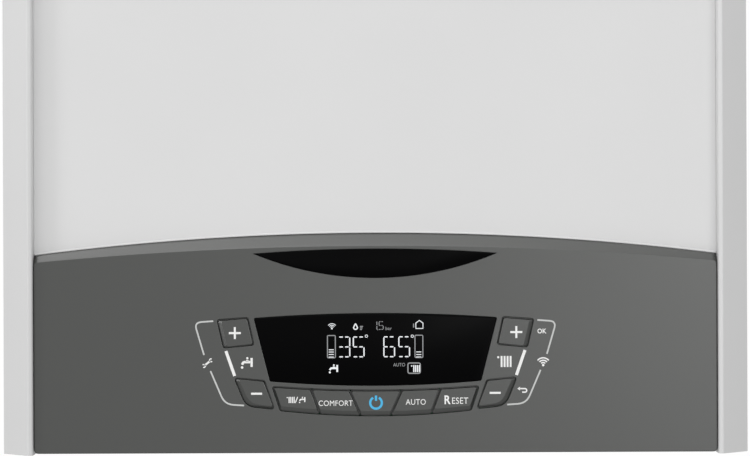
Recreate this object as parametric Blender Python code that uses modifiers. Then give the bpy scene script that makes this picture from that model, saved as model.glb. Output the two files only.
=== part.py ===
# A wall-hung condensing boiler, in metres, +Z up, front towards -Y.
# The origin is on the wall plane, at the height of the hanging slots.
import math

import bmesh
import bpy
from mathutils import Matrix, Vector

# Casing
casing_width = 0.400
casing_height = 0.745
casing_depth = 0.319
hang_drop = 0.040  # from the casing's top down to the hanging slots
sheet = 0.0012
seat = 0.0003  # running gap between pieces that touch
hole_gap = 0.0005  # round a pipe or a duct that passes through sheet
past = 0.0100  # how far a cutting shape reaches past what it cuts
pillar_chamfer_width = 0.0134
pillar_chamfer_depth = 0.0150
pillar_nose_width = 0.0038
pillar_nose_return = 0.0180
pillar_drop = 0.0007  # the pillars reach this far below the fascia
rail_height = 0.0700
rail_thickness = 0.0020
rail_depth = 0.0140
rail_corner = 0.0030
slot_width = 0.0100
slot_height = 0.0200
slot_corner = 0.0040
slot_spacing = 0.2400
frame_depth = 0.0160
frame_lift = 0.0040  # from the casing's lower edge up to the rear frame
frame_corner = 0.0030
lid_height = 0.0140
crossbar_low = 0.1220
crossbar_height = 0.0180
crossbar_depth = 0.0200
crossbar_setback = 0.0008  # behind the end of the front cover's edge

# Front panels, set back from the pillars' noses
fascia_setback = 0.0040
cover_setback = 0.0095
cover_depth = 0.0187
cover_edge = 0.0020
cover_top_corner = 0.0040
cover_fascia_gap = 0.0005

# Fascia, with heights above the casing's lower edge
fascia_depth = 0.0250
fascia_wall = 0.0025
fascia_mid_height = 0.1171
fascia_side_height = 0.1056
fascia_bevel_depth = 0.0045
fascia_face_mid_height = 0.1109
fascia_face_side_height = 0.1024
fascia_corner = 0.0025
aperture_clearance = 0.0006
lens_clearance = 0.0003
lens_thickness = 0.0020
badge_pocket = 0.0016
badge_half = 0.0652
badge_tip_height = 0.1065
badge_high = 0.1090
badge_low = 0.0933
window_top_half = 0.0650
window_top_side = 0.0721
window_top_mid = 0.0745
window_low_half = 0.0564
window_low_side = 0.0383
window_low_mid = 0.0358
window_corner = 0.0016

# Keys: corners and dividers are places on the fascia, from its middle and its lower edge
key_travel = 0.0010
key_proud = 0.0003
key_skirt = 0.0070
key_edge = 0.0005
key_stem_radius = 0.0020
key_corner = 0.0010
minus_corner = 0.0080
row_top_mid = 0.0330
row_top_side = 0.0352
row_low_mid = 0.0201
row_low_side = 0.0230
row_top_half = 0.0548
row_low_half = 0.0507
row_gap = 0.0012
plus_corners = [(0.0653, 0.0580), (0.0812, 0.0565), (0.0845, 0.0709), (0.0683, 0.0720)]
minus_corners = [(0.0545, 0.0238), (0.0690, 0.0254), (0.0749, 0.0398), (0.0596, 0.0384)]
row_dividers = [(-0.0344, -0.0297), (-0.0137, -0.0080), (0.0137, 0.0080), (0.0344, 0.0297)]
row_keys = ["button_mode", "button_comfort", "button_power", "button_auto", "button_reset"]

# Control box and its hinge
board_thickness = 0.0016
board_setback = 0.0165  # from the fascia's face back to the key board
board_half = 0.0950
board_low = 0.0120
board_high = 0.0800
module_half = 0.0500
module_low = 0.0440
module_high = 0.0680
root = 0.0005  # how far a stub or a chip is sunk into what carries it
box_wall = 0.0020
box_reach = 0.0750  # from the fascia's face back to the box's rear
box_inset = 0.0265
box_bottom = 0.0030
box_top = 0.0960
box_corner = 0.0040
flange_inset = 0.0020
flange_low = 0.0020
flange_top = 0.1020
post_radius = 0.0040
post_inset = 0.0080
main_board_half = 0.0780
main_board_low = 0.0140
main_board_high = 0.0850
spacer_length = 0.0060
spacer_radius = 0.0030
spacer_x = 0.0730
spacer_height = 0.0500
board_pieces = [  # left, low, right, high and how far each stands off the main board
    (-0.072, 0.040, -0.037, 0.075, 0.0260),
    (-0.028, 0.055, -0.010, 0.073, 0.0150),
    (-0.004, 0.055, 0.014, 0.073, 0.0150),
    (0.020, 0.055, 0.038, 0.073, 0.0150),
    (-0.070, 0.020, 0.060, 0.030, 0.0120),
]
pin_radius = 0.0025
pin_height = 0.0100
pin_inset = 0.0045  # from the box's rear face forward to the pin
pin_length = 0.0055
bracket_clearance = 0.0003
bracket_low = 0.0020
bracket_high = 0.0240
bracket_front = 0.0080
bracket_bend = 0.0160
bracket_rear = 0.0300
ear_inset = 0.0025

# Sealed chamber
chamber_bottom = 0.2360
chamber_drop = 0.0016  # from the casing's top down to the chamber's top
chamber_rear_gap = 0.0880
chamber_setback = 0.0245  # from the front cover's face back to the chamber's front
chamber_cover_thickness = 0.0020
chamber_cover_inset = 0.0040
chamber_cover_corner = 0.0060
pressed_border = 0.0300
pressed_corner = 0.0100
pressed_depth = 0.0008

# Heat exchanger and burner
exchanger_share = 0.5203  # of the chamber's height, from its floor up to the exchanger's axis
exchanger_radius = 0.1150
exchanger_room = 0.0700  # between the exchanger's front and the chamber's front
exchanger_bore = 0.0620
exchanger_floor = 0.0250
exchanger_ribs = 4
rib_depth = 0.0060
stub_radius = 0.0110
stub_offset = 0.0920
stub_root = 0.0200
stub_length = 0.0300
flue_stub_length = 0.0200
door_radius = 0.0950
door_thickness = 0.0100
door_rim = 0.0060
door_slope = 0.0120
port_x = 0.0500
port_length = 0.0060
port_wall = 0.0040
burner_radius = 0.0350
burner_gap = 0.0455  # from the burner's end to the exchanger's rear
burner_rim = 0.0040
burner_rim_thickness = 0.0030
electrode_x = -0.0480
electrode_radius = 0.0040
electrode_tip_radius = 0.0012
electrode_tip = 0.0300
electrode_cap = 0.0030
electrode_length = 0.0120

# Fan, motor and gas mixer
fan_side_gap = 0.0155
fan_top_gap = 0.0152
fan_radius = 0.0550
fan_depth = 0.0450
fan_wall = 0.0030
fan_eye = 0.0180
fan_outlet_inset = 0.0223
fan_outlet_root = 0.0200
fan_outlet_length = 0.0080
fan_blades = 10
fan_blade_depth = 0.0240
fan_blade_thickness = 0.0012
fan_blade_inner = 0.0200
fan_ring_inner = 0.0240
fan_hub_radius = 0.0090
fan_hub_length = 0.0120
fan_shaft_radius = 0.0030
fan_shaft_reach = 0.0180  # how far the shaft reaches into the motor
wheel_thickness = 0.0015
wheel_clearance = 0.0020
blade_inset = 0.0012
motor_radius = 0.0400
motor_length = 0.0400
motor_flange = 0.0030
motor_corner = 0.0060
mixer_inner = 0.0140
mixer_flange_radius = 0.0260
mixer_flange = 0.0040
mixer_radius = 0.0200
mixer_body = 0.0300
mixer_mouth = 0.0240
mixer_flare = 0.0100
mixer_length = 0.0480
mixer_inlet_root = 0.0170
mixer_inlet_end = 0.0450
mixer_inlet_radius = 0.0070
duct_radius = 0.0170
duct_drop = 0.0500
duct_turn = 0.0260
duct_bend = 0.0200

# Flue, concentric
flue_gap = 0.1400  # from the wall to the flue's axis
flue_inner_radius = 0.0300
flue_outer_radius = 0.0500
flue_wall = 0.0015
flue_rise = 0.0450
flue_flange_radius = 0.0640
flue_flange = 0.0030
flue_socket = 0.0020
flue_socket_drop = 0.0120
flue_reach = 0.0080
duct_socket = 0.0030
duct_socket_length = 0.0120

# Unions and bottom plate
pipe_radius = 0.0080
union_share = 0.165  # the unions' pitch, as a share of the casing's width
union_gap = 0.0750  # from the wall to the unions' axes
union_bottom = 0.0060
union_large = 0.0090
union_small = 0.0070
union_wall = 0.0025
union_hex = 0.0150
union_bore_depth = 0.0300
plate_height = 0.0220
plate_sheet = 0.0015
plate_edge = 0.0120
plate_reach = 0.1350
filling_radius = 0.0110
filling_stem = 0.0050
filling_length = 0.0140
filling_sink = 0.0020
gland_inset = 0.0245
gland_radius = 0.0085
gland_bore = 0.0045
gland_step = 0.0020
gland_length = 0.0120
gland_top = 0.0080

# Hydraulic blocks, pump and diverter
group_bottom = 0.0500
group_block = 0.0450
group_top = 0.1300
group_rear = -0.0450
group_front = -0.1150
group_side = 0.0080  # beyond the inner unions' axes
group_end = 0.0240  # beyond the outer unions' axes
group_edge = 0.0040
group_root = 0.0050
riser_gap = 0.1030
riser_radius = 0.0115
pump_inset = 0.0070
pump_height = 0.1750
pump_radius = 0.0440
pump_wall = 0.0040
pump_rear = -0.0600
pump_mouth = -0.1400
pump_cavity = 0.0300
pump_front = -0.2000
pump_blades = 6
pump_blade_thickness = 0.0018
pump_blade_inner = 0.0100
pump_ring_inner = 0.0140
pump_wheel_gap = 0.0030
pump_wheel_depth = 0.0140
pump_shaft_radius = 0.0040
pump_shaft_length = 0.0300
pump_shaft_gap = 0.0010
pump_can_radius = 0.0380
pump_flange = 0.0060
pump_cap_radius = 0.0330
pump_corner = 0.0090
pump_plug_radius = 0.0100
pump_plug = 0.0030
pump_stub_rise = 0.0450
neck_half = 0.0200
neck_rear = -0.0660
neck_front = -0.1080
neck_drop = 0.0300
vent_inset = 0.0140
vent_gap = 0.0620
vent_rise = 0.0200
vent_radius = 0.0095
terminal_half = 0.0240
terminal_rear = 0.0120
terminal_front = 0.0450
terminal_low = 0.0300
terminal_high = 0.0500
relief_offset = 0.0060
relief_height = 0.0740
relief_radius = 0.0110
relief_length = 0.0300
tower_radius = 0.0240
tower_gap = 0.0800
bridge_front = 0.0280
bridge_rear = 0.0100
bridge_drop = 0.0160
spindle_radius = 0.0030
spindle_clearance = 0.0005
spindle_travel = 0.0080
spindle_sink = 0.0180
spindle_end_gap = 0.0020
spindle_rise = 0.0400
diverter_half = 0.0220
diverter_gap = 0.0030  # between the motor and the flow pipe beside it
diverter_front = 0.0300
diverter_rear = 0.0200
diverter_height = 0.0600

# Plate exchanger, gas valve, trap, vessel and pipes
stack_plates = 8
stack_pitch = 0.0062
stack_step = 0.0016
stack_half = 0.0960
stack_low = 0.0560
stack_high = 0.1260
stack_plate = 0.0030
stack_inset = 0.0040
stack_corner = 0.0120
stack_root = 0.0010
valve_half = 0.0320
valve_low = 0.1500
valve_high = 0.2000
valve_rear = -0.1200
valve_front = -0.1800
valve_edge = 0.0030
coil_x = 0.0160
coil_height = 0.1760
coil_radius = 0.0130
coil_root = 0.0020
coil_length = 0.0220
nipple_radius = 0.0090
nipple_y = -0.1500
nipple_root = 0.0020
gas_inlet_height = 0.1750
gas_bend = 0.0200
trap_x = 0.0360
trap_y = -0.0940
trap_bottom = 0.0700
trap_neck = 0.0080
trap_radius = 0.0190
trap_shoulder = 0.0160
trap_levels = [0.0120, 0.0180, 0.1000, 0.1080, 0.1120]
vessel_radius = 0.1600
vessel_depth = 0.0780
vessel_top_gap = 0.0135  # below the hanging rail
vessel_crown = 0.0300
vessel_shoulder = 0.0100
vessel_rim = 0.0020
vessel_levels = [0.0060, 0.0180]
vessel_seam = 0.0030
vessel_seam_step = 0.0010
vessel_nipple_radius = 0.0075
vessel_nipple_length = 0.0140
hose_gap = 0.0405
hose_radius = 0.0050
hose_fall = 0.0257
hose_slope = 0.0700
hose_shift = 0.0300
hose_step = 0.0120
hose_bend = 0.0300
pipe_turn_low = 0.0540
pipe_turn_high = 0.0940
pipe_bend = 0.0250

# Knobs
knob_neck = 0.0060
knob_radius = 0.0130
knob_length = 0.0180
knob_lobes = 3
knob_edge = 0.0010
flute_radius = 0.0045
flute_offset = 0.0015

# Sizes that follow
half_width = casing_width / 2
inner_half = half_width - sheet - seat
panel_half = half_width - pillar_chamfer_width - pillar_nose_width - seat
casing_top = hang_drop
casing_bottom = casing_top - casing_height
fascia_front = -(casing_depth - fascia_setback)
fascia_rear = fascia_front + fascia_depth
cover_front = -(casing_depth - cover_setback)
cover_rear = cover_front + cover_depth
crossbar_front = cover_rear + crossbar_setback
board_front = fascia_front + board_setback
box_back = fascia_front + box_reach
box_half = inner_half - box_inset
flange_half = panel_half - flange_inset
pin_y = box_back - pin_inset
chamber_top = casing_height - chamber_drop
chamber_rear = -chamber_rear_gap
chamber_front = cover_front + chamber_setback
exchanger_height = chamber_bottom + (chamber_top - chamber_bottom) * exchanger_share
exchanger_rear = chamber_rear - sheet - seat
exchanger_front = chamber_front + exchanger_room
exchanger_middle = (exchanger_rear + exchanger_front) / 2
stub_low = exchanger_height - math.sqrt(exchanger_radius ** 2 - stub_offset ** 2)
burner_length = exchanger_rear - exchanger_front - burner_gap
fan_x = inner_half - fan_radius - fan_side_gap
fan_height = chamber_top - sheet - fan_radius - fan_top_gap
fan_front = exchanger_front
fan_rear = fan_front + fan_depth
fan_outlet_x = fan_x + fan_radius - fan_outlet_inset
fan_outlet_y = (fan_front + fan_rear) / 2
flue_y = -flue_gap
union_pitch = casing_width * union_share
union_y = -union_gap
plate_front = -plate_reach
filling_x = 1.5 * union_pitch
gland_x = gland_inset - inner_half
group_inner = union_pitch - group_side
group_outer = 2 * union_pitch + group_end
riser_y = -riser_gap
pump_x = 2 * union_pitch - pump_inset
pump_wheel_rear = pump_mouth + pump_cavity - pump_wheel_gap
pump_wheel_front = pump_wheel_rear - pump_wheel_depth
relief_x = 2 * union_pitch + relief_offset
spindle_x = -(stub_offset + pipe_radius + diverter_half + diverter_gap)
spindle_y = -tower_gap
vessel_height = casing_height - sheet - seat - rail_height - vessel_top_gap - vessel_radius
vessel_low = vessel_height - vessel_radius
hose_y = -hose_gap


def up(height):
    """Height above the casing's lower edge, as a Z coordinate."""
    return casing_bottom + height


for leftover in list(bpy.data.objects):
    bpy.data.objects.remove(leftover, do_unlink=True)

parts = bpy.data.collections.new("condensing_boiler")
cutters = bpy.data.collections.new("cutters")
bpy.context.scene.collection.children.link(parts)
bpy.context.scene.collection.children.link(cutters)

materials = {}


def material(name, color, roughness, metallic):
    made = bpy.data.materials.new(name)
    made.use_nodes = True
    shader = made.node_tree.nodes["Principled BSDF"]
    shader.inputs["Base Color"].default_value = (*color, 1)
    shader.inputs["Roughness"].default_value = roughness
    shader.inputs["Metallic"].default_value = metallic
    materials[name] = made


material("white_paint", (0.70, 0.70, 0.71), 0.45, 0)
material("galvanised_steel", (0.55, 0.56, 0.57), 0.40, 1)
material("dark_plastic", (0.095, 0.100, 0.095), 0.50, 0)
material("black_gloss", (0.004, 0.004, 0.005), 0.08, 0)
material("black_plastic", (0.020, 0.020, 0.021), 0.55, 0)
material("grey_plastic", (0.25, 0.25, 0.26), 0.55, 0)
material("green_board", (0.02, 0.16, 0.06), 0.50, 0)
material("stainless_steel", (0.62, 0.61, 0.59), 0.30, 1)
material("cast_aluminium", (0.55, 0.55, 0.56), 0.45, 1)
material("copper", (0.72, 0.35, 0.20), 0.30, 1)
material("brass", (0.72, 0.55, 0.25), 0.35, 1)
material("red_paint", (0.50, 0.03, 0.02), 0.50, 0)
material("white_ceramic", (0.80, 0.79, 0.75), 0.40, 0)


def new_object(name, mesh, slot, collection=parts):
    made = bpy.data.objects.new(name, mesh)
    collection.objects.link(made)
    if slot:
        mesh.materials.append(materials[slot])
    return made


def mesh_from(bm, name):
    bmesh.ops.remove_doubles(bm, verts=bm.verts, dist=0.00001)
    bmesh.ops.recalc_face_normals(bm, faces=bm.faces)
    mesh = bpy.data.meshes.new(name)
    bm.to_mesh(mesh)
    bm.free()
    return mesh


def box_mesh(name, low, high):
    """A block between two corners."""
    bm = bmesh.new()
    size = Vector(high) - Vector(low)
    middle = (Vector(high) + Vector(low)) / 2
    bmesh.ops.create_cube(bm, size=1, matrix=Matrix.Translation(middle) @ Matrix.Diagonal((*size, 1)))
    return mesh_from(bm, name)


def cylinder_mesh(name, start, end, radius, sides=20):
    """A cylinder from one end's centre to the other's."""
    bm = bmesh.new()
    line = Vector(end) - Vector(start)
    turn = line.to_track_quat("Z", "Y").to_matrix().to_4x4()
    middle = (Vector(start) + Vector(end)) / 2
    bmesh.ops.create_cone(bm, cap_ends=True, segments=sides, radius1=radius, radius2=radius,
                          depth=line.length, matrix=Matrix.Translation(middle) @ turn)
    return mesh_from(bm, name)


def block(name, low, high, slot):
    return new_object(name, box_mesh(name, low, high), slot)


def cylinder(name, start, end, radius, slot, sides=20):
    return new_object(name, cylinder_mesh(name, start, end, radius, sides), slot)


def bake(item):
    """Replaces an object by its evaluated mesh, with welded caps, in world space."""
    depsgraph = bpy.context.evaluated_depsgraph_get()
    depsgraph.update()
    mesh = bpy.data.meshes.new_from_object(item.evaluated_get(depsgraph))
    mesh.transform(item.matrix_world)
    name, slot_list = item.name, [slot.material for slot in item.material_slots]
    home = item.users_collection[0]
    bpy.data.objects.remove(item, do_unlink=True)
    bm = bmesh.new()
    bm.from_mesh(mesh)
    bmesh.ops.remove_doubles(bm, verts=bm.verts, dist=0.00001)
    bmesh.ops.recalc_face_normals(bm, faces=bm.faces)
    bm.to_mesh(mesh)
    bm.free()
    made = bpy.data.objects.new(name, mesh)
    home.objects.link(made)
    if not mesh.materials:
        for entry in slot_list:
            mesh.materials.append(entry)
    return made


def combine(target, tool_mesh, operation):
    tool = new_object("cutter_" + target.name, tool_mesh, None, cutters)
    change = target.modifiers.new(operation.lower(), "BOOLEAN")
    change.operation = operation
    change.object = tool
    change.solver = "EXACT"
    made = bake(target)
    bpy.data.objects.remove(tool, do_unlink=True)
    return made


def cut(target, *tool_meshes):
    for mesh in tool_meshes:
        target = combine(target, mesh, "DIFFERENCE")
    return target


def fuse(target, *tool_meshes):
    for mesh in tool_meshes:
        target = combine(target, mesh, "UNION")
    return target


def bevel(item, width, segments=2, angle=35):
    change = item.modifiers.new("bevel", "BEVEL")
    change.width = width
    change.segments = segments
    change.limit_method = "ANGLE"
    change.angle_limit = math.radians(angle)
    return bake(item)


def smooth(item, angle=35):
    item.data.shade_smooth()
    item.data.set_sharp_from_angle(angle=math.radians(angle))
    return item


def edge_point(start, end, bulge, t):
    """A point on a straight edge, or on an arc that bulges out of a counter-clockwise outline."""
    if abs(bulge) < 1e-7:
        return start.lerp(end, t)
    chord = end - start
    half_chord = chord.length / 2
    radius = (half_chord ** 2 + bulge ** 2) / (2 * abs(bulge))
    half_angle = math.asin(half_chord / radius)
    angle = (2 * t - 1) * half_angle
    along = chord.normalized()
    outwards = Vector((along.y, -along.x)) * math.copysign(1, bulge)
    rise = radius * (math.cos(angle) - math.cos(half_angle))
    return (start + end) / 2 + along * radius * math.sin(angle) + outwards * rise


def outline(corners, steps=8, corner_steps=3):
    """A closed outline from corners (x, z, corner radius, bulge of the edge that follows)."""
    count = len(corners)
    places = [Vector(corner[:2]) for corner in corners]
    trims = []
    for i, corner in enumerate(corners):
        before = (places[i - 1] - places[i]).normalized()
        after = (places[(i + 1) % count] - places[i]).normalized()
        trims.append(corner[2] / math.tan(before.angle(after) / 2))
    points = []
    for i, corner in enumerate(corners):
        start, end = places[i], places[(i + 1) % count]
        length = (end - start).length
        first, last = trims[i] / length, 1 - trims[(i + 1) % count] / length
        parts_of_edge = steps if abs(corner[3]) > 1e-7 else 1
        edge = [edge_point(start, end, corner[3], first + (last - first) * k / parts_of_edge)
                for k in range(parts_of_edge + 1)]
        if trims[(i + 1) % count] > 0:
            next_corner = corners[(i + 1) % count]
            next_end = places[(i + 2) % count]
            leave = trims[(i + 1) % count] / (next_end - end).length
            goal = edge_point(end, next_end, next_corner[3], leave)
            for k in range(1, corner_steps):
                t = k / corner_steps
                edge.append((1 - t) ** 2 * edge[parts_of_edge] + 2 * t * (1 - t) * end + t ** 2 * goal)
        elif trims[(i + 1) % count] == 0:
            edge.pop()
        points.extend(edge)
    return points


def mirrored(points):
    return [Vector((-point.x, point.y)) for point in reversed(points)]


def grown(points, distance):
    """The outline moved outwards by a clearance, or inwards when it is negative."""
    moved = []
    for i, point in enumerate(points):
        before = (point - points[i - 1]).normalized()
        after = (points[(i + 1) % len(points)] - point).normalized()
        normal = Vector((before.y + after.y, -before.x - after.x)).normalized()
        lean = max(0.5, normal.dot(Vector((after.y, -after.x))))
        moved.append(point + normal * distance / lean)
    return moved


def plate(name, points, front, rear, slot, collection=parts):
    """A flat outline seen from the front, between two depths."""
    curve = bpy.data.curves.new(name, "CURVE")
    curve.dimensions = "2D"
    curve.fill_mode = "BOTH"
    curve.extrude = (rear - front) / 2
    spline = curve.splines.new("POLY")
    spline.points.add(len(points) - 1)
    for place, point in zip(spline.points, points):
        place.co = (point.x, point.y, 0, 1)
    spline.use_cyclic_u = True
    made = new_object(name, curve, slot, collection)
    made.matrix_world = Matrix.Translation((0, (front + rear) / 2, 0)) @ Matrix.Rotation(math.pi / 2, 4, "X")
    return bake(made)


def plate_mesh(points, front, rear):
    made = plate("cutting_plate", points, front, rear, None, cutters)
    mesh = made.data
    bpy.data.objects.remove(made, do_unlink=True)
    return mesh


def loft_mesh(name, sections):
    """Joins outlines with the same number of points, and closes both ends."""
    bm = bmesh.new()
    rings = [[bm.verts.new(point) for point in section] for section in sections]
    for ring, following in zip(rings, rings[1:]):
        for i in range(len(ring)):
            after = (i + 1) % len(ring)
            bm.faces.new((ring[i], ring[after], following[after], following[i]))
    bm.faces.new(rings[0])
    bm.faces.new(list(reversed(rings[-1])))
    return mesh_from(bm, name)


def at_depth(points, depth):
    return [Vector((point.x, depth, point.y)) for point in points]


def turned(name, profile, base, direction, slot, steps=20, closed=False, collection=parts):
    """A profile of (radius, distance along the axis), turned about the axis from its base."""
    mesh = bpy.data.meshes.new(name)
    count = len(profile)
    edges = [(i, i + 1) for i in range(count - 1)]
    if closed:
        edges.append((count - 1, 0))
    mesh.from_pydata([(radius, 0, along) for radius, along in profile], edges, [])
    made = new_object(name, mesh, slot, collection)
    screw = made.modifiers.new("screw", "SCREW")
    screw.steps = steps
    screw.render_steps = steps
    screw.use_merge_vertices = True
    screw.merge_threshold = 0.0001
    turn = Vector(direction).to_track_quat("Z", "Y").to_matrix().to_4x4()
    made.matrix_world = Matrix.Translation(base) @ turn
    return bake(made)


def turned_mesh(profile, base, direction, steps=20, closed=False):
    made = turned("turned_cutter", profile, base, direction, None, steps, closed, cutters)
    mesh = made.data
    bpy.data.objects.remove(made, do_unlink=True)
    return mesh


def bent_route(points, bend, steps=5):
    """Straight runs between points, with each inner corner bent to a radius."""
    corners = [Vector(point) for point in points]
    route = [corners[0]]
    for before, corner, after in zip(corners, corners[1:], corners[2:]):
        back = (before - corner).normalized()
        onward = (after - corner).normalized()
        trim = bend / math.tan(back.angle(onward) / 2)
        start, end = corner + back * trim, corner + onward * trim
        for k in range(steps + 1):
            t = k / steps
            route.append((1 - t) ** 2 * start + 2 * t * (1 - t) * corner + t ** 2 * end)
    route.append(corners[-1])
    return route


def pipe(name, points, radius, slot, resolution=2):
    curve = bpy.data.curves.new(name, "CURVE")
    curve.dimensions = "3D"
    curve.bevel_depth = radius
    curve.bevel_resolution = resolution
    curve.use_fill_caps = True
    spline = curve.splines.new("POLY")
    spline.points.add(len(points) - 1)
    for place, point in zip(spline.points, points):
        place.co = (*point, 1)
    return smooth(bake(new_object(name, curve, slot)))


def folded(name, path, low, high, thickness, slot):
    """Sheet folded along upright bends: a path seen from above, between two heights."""
    bm = bmesh.new()
    lower = [bm.verts.new((x, y, low)) for x, y in path]
    upper = [bm.verts.new((x, y, high)) for x, y in path]
    for i in range(len(path) - 1):
        bm.faces.new((lower[i], lower[i + 1], upper[i + 1], upper[i]))
    mesh = bpy.data.meshes.new(name)
    bm.to_mesh(mesh)
    bm.free()
    made = new_object(name, mesh, slot)
    solid = made.modifiers.new("solidify", "SOLIDIFY")
    solid.thickness = thickness
    solid.offset = 0
    solid.use_even_offset = True
    return bake(made)


# Casing


def side_panel(name, side):
    """One side: a chamfered pillar with a rounded nose, which steps back to the front panels."""
    outer = half_width - sheet / 2
    nose_outer = half_width - pillar_chamfer_width
    nose_inner = nose_outer - pillar_nose_width + sheet / 2
    nose_front = -casing_depth + sheet / 2
    nose_steps = 5
    path = [
        (outer, -seat),
        (outer, -casing_depth + pillar_chamfer_depth),
        (nose_outer, nose_front),
    ]
    for k in range(1, nose_steps):
        angle = math.pi / 2 * k / nose_steps
        path.append((nose_outer - (nose_outer - nose_inner) * math.sin(angle),
                     nose_front + pillar_nose_width * (1 - math.cos(angle))))
    path.append((nose_inner, nose_front + pillar_nose_width))
    path.append((nose_inner, nose_front + pillar_nose_return))
    path = [(side * x, y) for x, y in path]
    return smooth(folded(name, path, casing_bottom - pillar_drop, casing_top, sheet, "white_paint"))


def tray(name, points, front, rear, wall, slot):
    """A shallow pan: a plate with a pocket in its front face."""
    made = plate(name, points, front, rear, slot)
    return cut(made, plate_mesh(grown(points, -wall), front - past, rear - wall))


def rectangle(half, low, high, corner):
    return outline([(-half, low, corner, 0), (half, low, corner, 0), (half, high, corner, 0),
                    (-half, high, corner, 0)], corner_steps=2)


def hanging_rail():
    """A folded steel strip with two slots, which hangs on the wall's hooks."""
    high = casing_top - sheet - seat
    made = tray("hanging_rail", rectangle(inner_half, high - rail_height, high, rail_corner), -rail_depth, 0,
                rail_thickness, "galvanised_steel")
    for side in (-1, 1):
        middle = side * slot_spacing / 2
        corners = [(middle - slot_width / 2, -slot_height / 2), (middle + slot_width / 2, -slot_height / 2),
                   (middle + slot_width / 2, slot_height / 2), (middle - slot_width / 2, slot_height / 2)]
        slot = outline([(x, z, slot_corner, 0) for x, z in corners])
        made = cut(made, plate_mesh(slot, -past, past))
    return made


def rear_frame():
    """The back sheet, folded forwards along its edges."""
    high = casing_top - sheet - rail_height - 2 * seat
    points = rectangle(inner_half, casing_bottom + frame_lift, high, frame_corner)
    return tray("rear_frame", points, -frame_depth, 0, sheet, "galvanised_steel")


def top_cover():
    """The folded lid between the front cover and the hanging rail, with the flue's hole."""
    front = cover_rear + seat
    rear = -rail_depth - 2 * seat
    low = casing_top - lid_height
    made = block("top_cover", (-inner_half, front, low), (inner_half, rear, casing_top), "white_paint")
    inside = box_mesh("inside", (-half_width, front + sheet, low - past),
                      (half_width, rear - sheet, casing_top - sheet))
    hole = cylinder_mesh("hole", (0, flue_y, casing_top - past), (0, flue_y, casing_top + past),
                         flue_outer_radius + hole_gap, sides=24)
    return cut(made, inside, hole)


def front_crossbar():
    """The steel angle under the chamber that the front cover and the control box meet."""
    low, high = up(crossbar_low), up(crossbar_low + crossbar_height)
    rear = crossbar_front + crossbar_depth
    made = block("front_crossbar", (-inner_half, crossbar_front, low), (inner_half, rear, high),
                 "galvanised_steel")
    inside = box_mesh("inside", (-half_width, crossbar_front + sheet, low + sheet),
                      (half_width, rear + past, high + past))
    return cut(made, inside)


def union_places():
    return [
        ("heating_flow_union", -2 * union_pitch, union_large),
        ("hot_water_union", -union_pitch, union_small),
        ("gas_union", 0.0, union_large),
        ("cold_water_union", union_pitch, union_small),
        ("heating_return_union", 2 * union_pitch, union_large),
    ]


def bottom_plate():
    """The folded plate that holds the unions, the filling tap and the mains gland."""
    low = up(plate_height)
    rear = -frame_depth - seat
    made = block("bottom_plate", (-inner_half, plate_front, low), (inner_half, rear, low + plate_edge),
                 "galvanised_steel")
    made = cut(made, box_mesh("inside", (-half_width, plate_front + plate_sheet, low + plate_sheet),
                              (half_width, rear - plate_sheet, low + plate_edge + past)))
    holes = [(x, bore + union_wall + seat) for _, x, bore in union_places()]
    holes.append((filling_x, filling_stem + seat))
    holes.append((gland_x, gland_radius - gland_step + seat))
    for x, radius in holes:
        made = cut(made, cylinder_mesh("hole", (x, union_y, low - past), (x, union_y, low + past), radius,
                                       sides=16))
    return made


def unions():
    """Five hexagon unions, each with a neck up to its hydraulic block and a bore from below."""
    for name, x, bore in union_places():
        hex_low = up(union_bottom)
        hex_high = up(plate_height) - seat
        made = cylinder(name, (x, union_y, hex_low), (x, union_y, hex_high), union_hex, "brass", sides=6)
        neck = cylinder_mesh("neck", (x, union_y, hex_high - root), (x, union_y, up(group_bottom) - seat),
                             bore + union_wall)
        hollow = cylinder_mesh("bore", (x, union_y, hex_low - past),
                               (x, union_y, hex_low + union_bore_depth), bore)
        smooth(cut(fuse(made, neck), hollow))


def cable_gland():
    """The mains cord's gland, with its flange below the bottom plate."""
    chamfer = gland_step / 2
    profile = [
        (gland_bore, -gland_length), (gland_radius - chamfer, -gland_length),
        (gland_radius, -gland_length + gland_step), (gland_radius, -seat),
        (gland_radius - gland_step, -seat), (gland_radius - gland_step, gland_top), (gland_bore, gland_top),
    ]
    return smooth(turned("cable_gland", profile, (gland_x, union_y, up(plate_height)), (0, 0, 1),
                         "black_plastic", steps=24, closed=True))


# Front cover and control panel


def arch(half, side_height, mid_height, low, corner):
    """A shape with straight sides and an arched top, from heights above the casing's lower edge."""
    return outline([
        (-half, up(low), corner, 0),
        (half, up(low), corner, 0),
        (half, up(side_height), corner, mid_height - side_height),
        (-half, up(side_height), corner, 0),
    ], steps=24)


def front_cover():
    """The white lift-off cover, whose lower edge follows the fascia's arch."""
    low = up(fascia_side_height + cover_fascia_gap)
    points = outline([
        (-panel_half, low, 0, fascia_side_height - fascia_mid_height),
        (panel_half, low, 0, 0),
        (panel_half, casing_top - seat, cover_top_corner, 0),
        (-panel_half, casing_top - seat, cover_top_corner, 0),
    ], steps=16)
    made = plate("front_cover", points, cover_front, cover_rear, "white_paint")
    made = bevel(made, cover_edge, 1, 60)
    return smooth(cut(made, plate_mesh(grown(points, -sheet), cover_front + sheet, cover_rear + past)))


def badge_outline():
    """The crescent: a shallow arc over a deep one, meeting at two tips."""
    left = Vector((-badge_half, up(badge_tip_height)))
    right = Vector((badge_half, up(badge_tip_height)))
    steps = 16
    lower = [edge_point(left, right, badge_tip_height - badge_low, k / steps) for k in range(steps)]
    upper = [edge_point(right, left, badge_high - badge_tip_height, k / steps) for k in range(steps)]
    return lower + upper


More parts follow.
